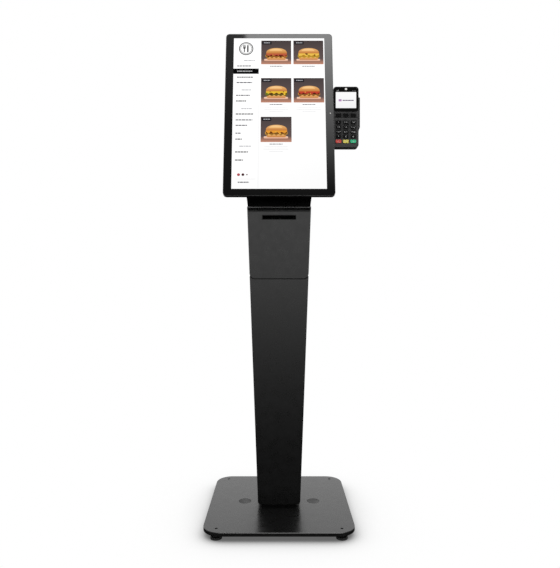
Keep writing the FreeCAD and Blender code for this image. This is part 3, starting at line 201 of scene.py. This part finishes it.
def receipt_paper():
    """White paper whose ends show the fine rings of the wound roll."""
    material = surface("receipt_paper", (0.82, 0.82, 0.79, 1), (0.7, 0.85), (900.0, 0.00001), 0.04)
    tree = material.node_tree
    low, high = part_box("paper_roll")
    away = node(tree, "ShaderNodeVectorMath", {
        0: place_on_object(tree), 1: (low + high) / 2,
    }, operation="SUBTRACT")
    rings = node(tree, "ShaderNodeTexWave", {
        "Vector": away.outputs["Vector"], "Scale": 400.0, "Distortion": 0.6,
    }, wave_type="RINGS", rings_direction="X")
    shade = node(tree, "ShaderNodeMixRGB", {
        "Fac": rings.outputs["Fac"], "Color1": (0.70, 0.70, 0.67, 1), "Color2": (0.84, 0.84, 0.81, 1),
    })
    tree.links.new(shade.outputs["Color"], tree.nodes["Principled BSDF"].inputs["Base Color"])
    return material


def display_black():
    return surface("display_black", grey(0.003), (0.30, 0.42), (1100.0, 0.00002))


def circuit_board():
    """Solder resist with rows of brighter tracks and pads."""
    material = surface("circuit_board", (0.01, 0.10, 0.04, 1), (0.3, 0.45), (400.0, 0.00004), 0.3)
    tree = material.node_tree
    shader = tree.nodes["Principled BSDF"]
    tracks = node(tree, "ShaderNodeTexBrick", {
        "Vector": place_on_object(tree), "Scale": 120.0, "Mortar Size": 0.03,
        "Color1": (0.01, 0.09, 0.035, 1), "Color2": (0.012, 0.12, 0.05, 1), "Mortar": (0.30, 0.24, 0.08, 1),
    })
    tree.links.new(tracks.outputs["Color"], shader.inputs["Base Color"])
    return material


def terminal_grey_plastic():
    return surface("terminal_grey_plastic", grey(0.04), (0.36, 0.5), (1500.0, 0.00003), specular=0.35)


def terminal_lens():
    return surface("terminal_lens", grey(0.002), (0.06, 0.10), (60.0, 0.00001), specular=0.35)


def key_black():
    return surface("key_black", grey(0.002), (0.34, 0.48), (1500.0, 0.00002), specular=0.1)


def key_red():
    return surface("key_red", (0.72, 0.075, 0.055, 1), (0.35, 0.5), (1500.0, 0.00002), 0.06)


def key_yellow():
    return surface("key_yellow", (0.82, 0.72, 0.12, 1), (0.35, 0.5), (1500.0, 0.00002), 0.06)


def key_green():
    return surface("key_green", (0.03, 0.55, 0.26, 1), (0.35, 0.5), (1500.0, 0.00002), 0.06)


def display_coordinates(tree):
    """How far right of the centre line and how far up the glass a point is, in metres."""
    place = place_on_object(tree)
    low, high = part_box("touch_glass")
    centre = (low + high) / 2
    away = node(tree, "ShaderNodeVectorMath", {0: place, 1: centre}, operation="SUBTRACT")
    up = (0, math.sin(TILT), math.cos(TILT))
    rise = node(tree, "ShaderNodeVectorMath", {0: away.outputs["Vector"], 1: up}, operation="DOT_PRODUCT")
    across = node(tree, "ShaderNodeSeparateXYZ", {"Vector": away.outputs["Vector"]})
    return across.outputs["X"], rise.outputs["Value"]


def inside_window(tree, half_w, half_h, middle):
    """1 where the glass is clear over the lit area, 0 on the printed border."""
    across, rise = display_coordinates(tree)
    aside = math_node(tree, "ABSOLUTE", across, 0)
    shifted = math_node(tree, "SUBTRACT", rise, middle)
    off = math_node(tree, "ABSOLUTE", shifted, 0)
    in_width = math_node(tree, "LESS_THAN", aside, half_w)
    in_height = math_node(tree, "LESS_THAN", off, half_h)
    return math_node(tree, "MULTIPLY", in_width, in_height)


def cover_glass():
    """Clear glass with a black border printed on it."""
    material, tree, shader = blank_material("cover_glass")
    low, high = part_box("touch_glass")
    glass_h = (high.z - low.z) / math.cos(TILT)
    middle = LIT_BOTTOM * MM + LIT_H * MM / 2 - glass_h / 2
    window = inside_window(tree, LIT_W * MM / 2, LIT_H * MM / 2, middle)
    shader.inputs["Base Color"].default_value = grey(0.0035)
    smears = noise(tree, 9.0, 6.0)
    tree.links.new(span(tree, smears, 0.03, 0.06), shader.inputs["Roughness"])
    tree.links.new(math_node(tree, "SUBTRACT", 1.0, window), shader.inputs["Alpha"])
    return material


def lcd_screen():
    """A lit white page that is a little greyer towards its lower right."""
    material, tree, shader = blank_material("lcd_screen")
    across, rise = display_coordinates(tree)
    slope = math_node(tree, "SUBTRACT", across, rise)
    shade = span(tree, slope, 1.0, 0.92, -0.05, 0.35)
    glow = node(tree, "ShaderNodeCombineColor", {"Red": shade, "Green": shade, "Blue": shade})
    shader.inputs["Base Color"].default_value = grey(0.002)
    shader.inputs["Roughness"].default_value = 0.4
    tree.links.new(glow.outputs["Color"], shader.inputs["Emission Color"])
    front = node(tree, "ShaderNodeNewGeometry").outputs["Normal"]
    parts = node(tree, "ShaderNodeSeparateXYZ", {"Vector": front})
    faces_user = math_node(tree, "LESS_THAN", parts.outputs["Y"], -0.8)
    tree.links.new(faces_user, shader.inputs["Emission Strength"])
    return material


def lit_picture():
    """A lit picture element that shows its own colours."""
    material, tree, shader = blank_material("lit_picture")
    tint = node(tree, "ShaderNodeAttribute", attribute_name="tint")
    shader.inputs["Base Color"].default_value = grey(0.0)
    shader.inputs["Specular IOR Level"].default_value = 0.0
    tree.links.new(tint.outputs["Color"], shader.inputs["Emission Color"])
    shader.inputs["Emission Strength"].default_value = 1.0
    return material


# A dark finish for the painted shadow and shade on the keypad
def painted_shade_finish():
    return surface("painted_shade_finish", grey(0.003), (0.45, 0.6), (900.0, 0.00001), 0.2, specular=0.25)


def pale_print():
    return surface("pale_print", grey(0.55), (0.5, 0.6), (900.0, 0.00001), 0.08)


FINISHES = {
    "stand_powder_coat": stand_powder_coat,
    "dark_steel": dark_steel,
    "zinc_steel": zinc_steel,
    "black_plastic": black_plastic,
    "cable_rubber": cable_rubber,
    "roller_rubber": roller_rubber,
    "receipt_paper": receipt_paper,
    "display_black": display_black,
    "cover_glass": cover_glass,
    "lcd_screen": lcd_screen,
    "circuit_board": circuit_board,
    "terminal_grey_plastic": terminal_grey_plastic,
    "terminal_lens": terminal_lens,
    "key_black": key_black,
    "key_red": key_red,
    "key_yellow": key_yellow,
    "key_green": key_green,
}
PICTURE = lit_picture()
PRINT = pale_print()
# The finish of the painted shade on the keypad
PAINTED_SHADE = painted_shade_finish()


def dress_cad_nodes():
    finished = {slot: make() for slot, make in FINISHES.items()}
    for part in frame["record"]["subparts"]:
        thing = frame["nodes"][part["node"]]
        thing.data.materials.clear()
        thing.data.materials.append(finished[part["material_slot"]])
    return finished


# Outlines, in millimetres: each is a list of (x, height) points, anticlockwise


def rectangle(x0, x1, low, high):
    return [(x0, low), (x1, low), (x1, high), (x0, high)]


def round_rectangle(x0, x1, low, high, radius, steps=6):
    points = []
    centres = ((x1 - radius, low + radius, -90), (x1 - radius, high - radius, 0),
               (x0 + radius, high - radius, 90), (x0 + radius, low + radius, 180))
    for x, z, start in centres:
        for i in range(steps + 1):
            turn = math.radians(start + 90 * i / steps)
            points.append((x + radius * math.cos(turn), z + radius * math.sin(turn)))
    return points


def disc(x, z, radius, steps=32):
    turns = [2 * math.pi * i / steps for i in range(steps)]
    return [(x + radius * math.cos(t), z + radius * math.sin(t)) for t in turns]


def ring(x, z, outer, inner, steps=48):
    """A ring as short pieces, each a four-sided outline."""
    pieces = []
    for i in range(steps):
        a, b = (2 * math.pi * k / steps for k in (i, i + 1))
        corners = ((inner, a), (outer, a), (outer, b), (inner, b))
        pieces.append([(x + r * math.cos(t), z + r * math.sin(t)) for r, t in corners])
    return pieces


class Picture:
    """Flat coloured shapes on one surface, gathered into one mesh of thin closed plates."""

    def __init__(self, name, to_frame):
        self.name = name
        self.to_frame = to_frame
        self.vertices = []
        self.faces = []
        self.tints = []

    def add(self, outline, top, bottom=None, layer=1, thick=LAYER_MM):
        """One plate, coloured from top to bottom. A higher layer lies nearer the viewer."""
        bottom = bottom or top
        first = len(self.vertices)
        count = len(outline)
        heights = [z for _, z in outline]
        low, reach = min(heights), max(max(heights) - min(heights), 1e-6)
        for depth in (-layer * LAYER_MM, -layer * LAYER_MM + thick):
            for x, z in outline:
                share = (z - low) / reach
                self.vertices.append(self.to_frame @ Vector((x * MM, depth * MM, z * MM)))
                self.tints.append([b + (t - b) * share for t, b in zip(top, bottom)])
        self.faces.append([first + i for i in range(count)])
        self.faces.append([first + count + i for i in reversed(range(count))])
        for i in range(count):
            j = (i + 1) % count
            self.faces.append([first + j, first + i, first + count + i, first + count + j])

    def finish(self, body, slot, material):
        mesh = bpy.data.meshes.new(self.name)
        mesh.from_pydata(self.vertices, [], self.faces)
        tint = mesh.color_attributes.new("tint", "FLOAT_COLOR", "POINT")
        tint.data.foreach_set("color", [c for colour in self.tints for c in colour])
        mesh.materials.append(material)
        thing = bpy.data.objects.new(self.name, mesh)
        bpy.context.scene.collection.objects.link(thing)
        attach(thing, body)
        return thing


# What the display shows


def screen_axes():
    """From the picture's own axes (x from the centre line, depth behind the page's front,
    height from the bottom of the lit area) to the frame. The page is one layer on the glass."""
    low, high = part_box("touch_glass")
    centre = (low + high) / 2
    glass_h = (high.z - low.z) / math.cos(TILT)
    lean = Matrix.Rotation(-TILT, 4, "X")
    page_front = -(GLASS_THICK / 2 + LAYER_MM) * MM
    foot = Vector((0, page_front, LIT_BOTTOM * MM - glass_h / 2))
    return Matrix.Translation(centre) @ lean @ Matrix.Translation(foot)


def words(picture, x0, x1, drop, height, colour, seed, layer=1):
    """A line of made-up text: short dashes with gaps between them."""
    chance = random.Random(seed)
    z = LIT_H - drop
    x = x0
    while x < x1 - 1:
        end = min(x1, x + chance.uniform(0.35, 1.0) * height * 3.5)
        picture.add(rectangle(x, end, z - height / 2, z + height / 2), colour, layer=layer)
        x = end + height * WORD_GAP


DARK = linear(8, 8, 12)
MID = linear(85, 85, 92)
PALE = linear(190, 190, 194)
SIDEBAR_LINES = (
    (74.5, -105, -72, PALE), (92.4, -125, -84, MID), (129.4, -125, -78, DARK), (147.0, -126, -80, MID),
    (171.1, -111, -83, PALE), (188.6, -127, -86, MID), (206.9, -127, -97, DARK), (231.4, -111, -80, PALE),
    (248.6, -127, -76, DARK), (267.4, -127, -78, MID), (284.5, -127, -92, MID), (309.2, -127, -112, MID),
    (327.8, -127, -108, DARK), (349.9, -115, -80, PALE), (367.8, -127, -90, DARK), (392.7, -127, -104, DARK),
    (460.3, -118, -86, MID),
)


def page(finish):
    """The lit page, in the panel's own finish. It covers the place where the glass's back and
    the panel's front coincide."""
    picture = Picture("screen_page", screen_axes())
    picture.add(rectangle(-LIT_W / 2, LIT_W / 2, 0, LIT_H), grey(1.0), layer=0)
    return picture.finish("display", "lcd_screen", finish)


def sidebar():
    """The menu column: a chosen entry in a black bar, headings and lines."""
    picture = Picture("screen_sidebar", screen_axes())
    picture.add(rectangle(SIDEBAR_RIGHT - 0.5, SIDEBAR_RIGHT + 0.3, 2, LIT_H - 2), linear(226, 226, 228))
    black = linear(8, 8, 9)
    picture.add(rectangle(-LIT_W / 2, SIDEBAR_RIGHT - 0.8, LIT_H - 118.5, LIT_H - 101), black)
    words(picture, -125, -80, 109.7, 3.0, linear(190, 190, 192), 1, layer=2)
    for index, (drop, x0, x1, colour) in enumerate(SIDEBAR_LINES):
        words(picture, x0, x1, drop, 3.2, colour, index + 2)
    picture.add(rectangle(-126, -68, LIT_H - 451, LIT_H - 450.2), linear(222, 218, 218))
    return picture.finish("display", "lcd_screen", PICTURE)


def emblem():
    """A generic sign for food: a knife and a fork in a ring."""
    picture = Picture("screen_emblem", screen_axes())
    x, z = -99.0, LIT_H - 34.7
    ink = linear(12, 12, 14)
    for piece in ring(x, z, 21.5, 18.8) + ring(x, z, 17.0, 15.8):
        picture.add(piece, ink)
    picture.add(round_rectangle(x + 3.0, x + 7.2, z - 12, z + 12, 1.8), ink)
    picture.add(round_rectangle(x - 6.6, x - 3.8, z - 12, z + 1, 1.2), ink)
    picture.add(round_rectangle(x - 9.0, x - 1.4, z, z + 4.4, 1.8), ink, layer=2)
    for shift in (-8.0, -5.2, -2.4):
        picture.add(rectangle(x + shift - 0.9, x + shift + 0.9, z + 3, z + 12), ink)
    return picture.finish("display", "lcd_screen", PICTURE)


def food_icons():
    """Three small marks at the foot of the menu column."""
    picture = Picture("screen_icons", screen_axes())
    z = LIT_H - 437.3
    picture.add(disc(-116, z, 4.2), linear(200, 90, 100), linear(150, 40, 50))
    picture.add(disc(-103.5, z, 4.0), linear(90, 30, 40), linear(30, 20, 24))
    picture.add(disc(-92, z, 1.9), linear(90, 60, 66))
    return picture.finish("display", "lcd_screen", PICTURE)


def wavy_band(x0, x1, low, high, waves, height):
    """A band whose lower edge waves like a leaf or melted cheese."""
    steps = 24
    points = []
    for i in range(steps + 1):
        share = i / steps
        dip = height * math.sin(waves * math.pi * share) ** 2
        points.append((x0 + (x1 - x0) * share, low - dip))
    return points + [(x1, high), (x0, high)]


def bun_dome(x, z, half, rise):
    points = []
    for i in range(25):
        turn = math.pi * i / 24
        points.append((x + half * math.cos(turn), z + rise * math.sin(turn) ** 0.75))
    return points


BUN_LIGHT, BUN_DARK = linear(244, 190, 122), linear(196, 122, 58)
FILLINGS = (
    (linear(196, 96, 66), linear(132, 44, 34), linear(206, 172, 60)),
    (linear(246, 200, 84), linear(214, 150, 48), linear(150, 160, 60)),
    (linear(240, 196, 58), linear(104, 62, 36), linear(120, 146, 44)),
    (linear(198, 70, 50), linear(96, 40, 30), linear(226, 160, 70)),
    (linear(238, 160, 56), linear(110, 52, 28), linear(240, 190, 80)),
)


def burger(picture, x, z, filling, seed):
    """A plain filled bun on a pale board, with its middle at x and its foot at z."""
    chance = random.Random(seed)
    picture.add(round_rectangle(x - 37, x + 34, z - 4, z + 3, 3), linear(246, 214, 190), linear(226, 168, 140), 3)
    picture.add(round_rectangle(x - 29, x + 28, z, z + 10, 4.5), BUN_LIGHT, BUN_DARK, 4)
    top, meat, leaf = filling
    picture.add(wavy_band(x - 33, x + 32, z + 9, z + 16, 5, 3.5), leaf, meat, 5)
    picture.add(round_rectangle(x - 31, x + 31, z + 11, z + 20, 3.5), meat, tuple(c * 0.6 for c in meat), 6)
    picture.add(wavy_band(x - 31, x + 31, z + 17, z + 22, 4, 5.0), top, tuple(c * 0.8 for c in top), 7)
    for _ in range(9):
        spot = (x + chance.uniform(-28, 28), z + chance.uniform(9, 20))
        shade = chance.choice((top, leaf, linear(60, 26, 20)))
        picture.add(disc(*spot, chance.uniform(1.2, 2.6), 12), shade, layer=8)
    picture.add(bun_dome(x, z + 21, 31, 18), BUN_LIGHT, BUN_DARK, 9)
    picture.add(bun_dome(x - 2, z + 29, 19, 7.5), linear(250, 212, 156), linear(242, 184, 112), 10)


def menu_tile(index):
    """One dish: its picture, a small tag, a caption and lines of text below."""
    picture = Picture("screen_tile_%d" % (index + 1), screen_axes())
    x0 = TILE_X[index % 2]
    high = LIT_H - TILE_DROP[index // 2]
    low = high - TILE_H
    middle = x0 + TILE_W / 2
    picture.add(rectangle(x0, x0 + TILE_W, low, high), linear(74, 66, 66), linear(104, 88, 86))
    picture.add(rectangle(x0, x0 + TILE_W, low, low + 17), linear(112, 92, 88), linear(198, 140, 116), 2)
    picture.add(rectangle(x0 + 3, x0 + 31, high - 13, high - 2.5), linear(36, 34, 38), layer=2)
    drop = LIT_H - high + 7.6
    words(picture, x0 + 8, x0 + 27, drop, 2.4, linear(190, 190, 194), 40 + index, layer=3)
    burger(picture, middle + 1, low + 15, FILLINGS[index], 60 + index)
    under = LIT_H - low
    words(picture, middle - 19, middle + 19, under + 6.4, 2.5, linear(110, 110, 116), 80 + index)
    for row, reach in enumerate((34, 37, 20)):
        words(picture, middle - reach, middle + reach, under + 15 + 7 * row, 1.3, linear(214, 214, 217), 100 + row)
    return picture.finish("display", "lcd_screen", PICTURE)


def display_lamp():
    """A small pale status light on the right of the glass's border."""
    picture = Picture("display_lamp", screen_axes())
    picture.add(disc(150.0, 234.0, 1.5), linear(225, 225, 220))
    return picture.finish("display", "lcd_screen", PICTURE)


# The card terminal's details


def terminal_axes():
    """From millimetres about the middle of the terminal's face to the frame."""
    low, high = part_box("terminal_upper_case")
    return Matrix.Translation(((low.x + high.x) / 2, low.y, (low.z + high.z) / 2))


def terminal_screen():
    picture = Picture("terminal_screen", terminal_axes())
    half_w = TERMINAL_SCREEN[0] / 2
    half_h = TERMINAL_SCREEN[1] / 2
    z = TERMINAL_SCREEN_RISE
    white, faint = linear(252, 252, 252), linear(244, 244, 246)
    picture.add(round_rectangle(-half_w, half_w, z - half_h, z + half_h, 0.8), white, faint, 2, 0.04)
    ink = linear(70, 44, 92)
    picture.add(round_rectangle(-22, -13, z - 4, z + 2.4, 1.0), linear(196, 150, 200), layer=3)
    picture.add(rectangle(-22, -13, z - 0.4, z + 0.9), ink, layer=4)
    words_on_terminal = random.Random(5)
    x = -10.0
    while x < 22:
        end = min(23.0, x + words_on_terminal.uniform(4, 9))
        picture.add(rectangle(x, end, z - 2.2, z + 0.4), ink, layer=3)
        x = end + 0.8
    return picture.finish("card_terminal", "terminal_lens", PICTURE)


def terminal_lamps():
    """The lamp above the terminal's screen and three small pale signs beside it."""
    picture = Picture("terminal_lamps", terminal_axes())
    picture.add(round_rectangle(-3.0, 3.0, 80.8, 86.4, 1.0), linear(236, 236, 232), layer=2, thick=0.04)
    for i in range(3):
        picture.add(rectangle(-29 + 2.6 * i, -27.4 + 2.6 * i, 76.5, 78 + 1.7 * i), linear(150, 150, 152), layer=2)
    for x in (20.5, 27.0):
        picture.add(disc(x, 78.2, 1.2, 12), linear(120, 120, 122), layer=2)
    return picture.finish("card_terminal", "terminal_lens", PICTURE)


def keypad_painted_shade():
    """A dark line of painted shadow above the keypad, and a dark ring of painted shade round each black key."""
    axes = terminal_axes()
    centre = axes.translation
    picture = Picture("keypad_painted_shade", axes)
    black = linear(16, 14, 15)
    # Painted shadow: a dark line along the lower edge of the grey band above the keys
    picture.add(rectangle(-37.0, 36.0, -2.6, -0.2), black, layer=2, thick=0.04)
    # Painted shade: a dark ring round each black key
    for name in (*DIGITS, *MENU_KEYS):
        if name in COLOURED_KEYS:
            continue
        low, high = ((corner - centre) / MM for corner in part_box(name))
        x0, x1 = low.x - SHADE_RING_GAP, high.x + SHADE_RING_GAP
        z0, z1 = low.z - SHADE_RING_GAP, high.z + SHADE_RING_GAP
        wide = SHADE_RING_WIDTH
        for strip in (
            rectangle(x0 - wide, x0, z0, z1), rectangle(x1, x1 + wide, z0, z1),
            rectangle(x0, x1, z0 - wide, z0), rectangle(x0, x1, z1, z1 + wide),
        ):
            picture.add(strip, black, layer=2, thick=0.04)
    return picture.finish("card_terminal", "terminal_grey_plastic", PAINTED_SHADE)


def key_legend(name, letters):
    """A raised pale sign in the middle of one key."""
    low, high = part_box(name)
    curve = bpy.data.curves.new("legend_" + name, "FONT")
    curve.body = letters
    curve.size = (LEGEND_SIZE if len(letters) == 1 else WIDE_LEGEND_SIZE) * MM
    curve.extrude = 0.03 * MM
    curve.align_x = "CENTER"
    curve.align_y = "CENTER"
    maker = bpy.data.objects.new("maker", curve)
    bpy.context.scene.collection.objects.link(maker)
    bpy.context.view_layer.update()
    graph = bpy.context.evaluated_depsgraph_get()
    mesh = bpy.data.meshes.new_from_object(maker.evaluated_get(graph), depsgraph=graph)
    bpy.data.objects.remove(maker)
    middle = Vector(((low.x + high.x) / 2, low.y - 0.02 * MM, (low.z + high.z) / 2))
    mesh.transform(Matrix.Translation(middle) @ Matrix.Rotation(math.radians(90), 4, "X"))
    mesh.materials.clear()
    mesh.materials.append(PRINT)
    thing = bpy.data.objects.new("legend_" + name, mesh)
    bpy.context.scene.collection.objects.link(thing)
    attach(thing, name)
    return thing


# Stage, light and camera


def camera_rays(tree):
    return node(tree, "ShaderNodeLightPath").outputs["Is Camera Ray"]


def floor():
    """A white floor that darkens close to the object and sends no light back up."""
    mesh = bpy.data.meshes.new("floor")
    reach = 30.0
    mesh.from_pydata([(-reach, -reach, 0), (reach, -reach, 0), (reach, reach, 0), (-reach, reach, 0)], [], [(0, 1, 2, 3)])
    thing = bpy.data.objects.new("floor", mesh)
    bpy.context.scene.collection.objects.link(thing)
    material, tree, shader = blank_material("floor_white")
    tree.nodes.remove(shader)
    openness = node(tree, "ShaderNodeAmbientOcclusion", {"Distance": SHADOW_REACH}).outputs["AO"]
    bright = math_node(tree, "MULTIPLY", math_node(tree, "POWER", openness, SHADOW_POWER), SHADOW_GAIN)
    shade = math_node(tree, "MAXIMUM", math_node(tree, "MINIMUM", bright, 1.0), SHADOW_DARKEST)
    lit = node(tree, "ShaderNodeEmission", {"Strength": shade})
    tree.links.new(lit.outputs["Emission"], tree.nodes["Material Output"].inputs["Surface"])
    mesh.materials.append(material)
    thing.visible_glossy = False
    thing.visible_diffuse = False
    thing.visible_transmission = False


def ramp(tree, value, stops):
    """Brightness by direction. Stops are (height of the direction, brightness)."""
    share = span(tree, value, 0.0, 1.0, -1.0, 1.0)
    made = node(tree, "ShaderNodeValToRGB", {"Fac": share})
    elements = made.color_ramp.elements
    while len(elements) < len(stops):
        elements.new(0.5)
    for element, (height, light) in zip(elements, stops):
        element.position = (height + 1) / 2
        element.color = grey(light)
    return made.outputs["Color"]


def studio():
    """White all round for the camera. What lights the object and shows in it is a bright
    backdrop, a front that darkens towards the floor, and a soft box high on the right."""
    world = bpy.data.worlds.new("studio")
    bpy.context.scene.world = world
    world.use_nodes = True
    tree = world.node_tree
    tree.nodes.clear()
    direction = node(tree, "ShaderNodeTexCoord").outputs["Generated"]
    parts = node(tree, "ShaderNodeSeparateXYZ", {"Vector": direction})
    x, y, z = (parts.outputs[axis] for axis in "XYZ")
    behind = ramp(tree, z, ((-0.5, 0.02), (-0.12, 0.1), (0.05, 1.12), (1.0, 1.12)))
    front = ramp(tree, z, (
        (-0.5, 0.0), (-0.435, 0.01), (-0.355, 0.09), (-0.28, 0.23), (-0.196, 0.56), (-0.144, 0.85),
        (-0.063, 1.5), (-0.016, 1.72), (0.03, 1.75), (0.10, 1.35), (0.2, 0.5), (0.3, 0.12),
        (0.5, 0.08), (0.63, 0.18), (0.76, 0.55), (0.85, 0.3), (1.0, 0.2),
    ))
    is_behind = span(tree, y, 0.0, 1.0, -0.15, 0.15)
    sky = node(tree, "ShaderNodeMixRGB", {"Fac": is_behind, "Color1": front, "Color2": behind})
    slope = math_node(tree, "MULTIPLY", math_node(tree, "SUBTRACT", z, 0.736), -0.25)
    edge = math_node(tree, "SUBTRACT", x, math_node(tree, "ADD", slope, -0.057))
    to_right = span(tree, edge, 0.0, 1.0, -0.002, 0.002)
    rise = math_node(tree, "POWER", span(tree, z, 0.0, 1.0, 0.535, 0.75), 1.4)
    box_light = math_node(tree, "MULTIPLY", math_node(tree, "MULTIPLY", rise, to_right), 4.9)
    in_front = math_node(tree, "LESS_THAN", y, -0.3)
    box_light = math_node(tree, "MULTIPLY", box_light, in_front)
    total = node(tree, "ShaderNodeMixRGB", {
        "Fac": 1.0, "Color1": sky.outputs["Color"], "Color2": box_light,
    }, blend_type="ADD")
    lighting = node(tree, "ShaderNodeBackground", {"Color": total.outputs["Color"], "Strength": 1.1})
    seen = node(tree, "ShaderNodeBackground", {"Color": grey(1.0), "Strength": 1.0})
    mixed = node(tree, "ShaderNodeMixShader", {
        "Fac": camera_rays(tree), 1: lighting.outputs["Background"], 2: seen.outputs["Background"],
    })
    output = node(tree, "ShaderNodeOutputWorld")
    tree.links.new(mixed.outputs["Shader"], output.inputs["Surface"])


def overhead_light():
    light = bpy.data.lights.new("overhead", "AREA")
    light.size = 2.2
    light.energy = 10.0
    lamp = bpy.data.objects.new("overhead", light)
    lamp.location = (0.3, -0.3, 3.2)
    bpy.context.scene.collection.objects.link(lamp)


def camera():
    lens = bpy.data.cameras.new("camera")
    lens.lens = CAMERA_LENS
    lens.shift_x, lens.shift_y = CAMERA_SHIFT
    eye = bpy.data.objects.new("camera", lens)
    eye.location = CAMERA_PLACE
    eye.rotation_euler = (math.radians(90), 0, 0)
    bpy.context.scene.collection.objects.link(eye)
    bpy.context.scene.camera = eye


finishes = dress_cad_nodes()
page(finishes["lcd_screen"])
sidebar()
emblem()
food_icons()
for tile in range(TILE_COUNT):
    menu_tile(tile)
display_lamp()
terminal_screen()
terminal_lamps()
# Painted shadow and shade on the keypad
keypad_painted_shade()
for key, letters in DIGITS.items():
    key_legend(key, letters)
floor()
studio()
overhead_light()
camera()
bpy.context.scene.view_settings.view_transform = "Standard"
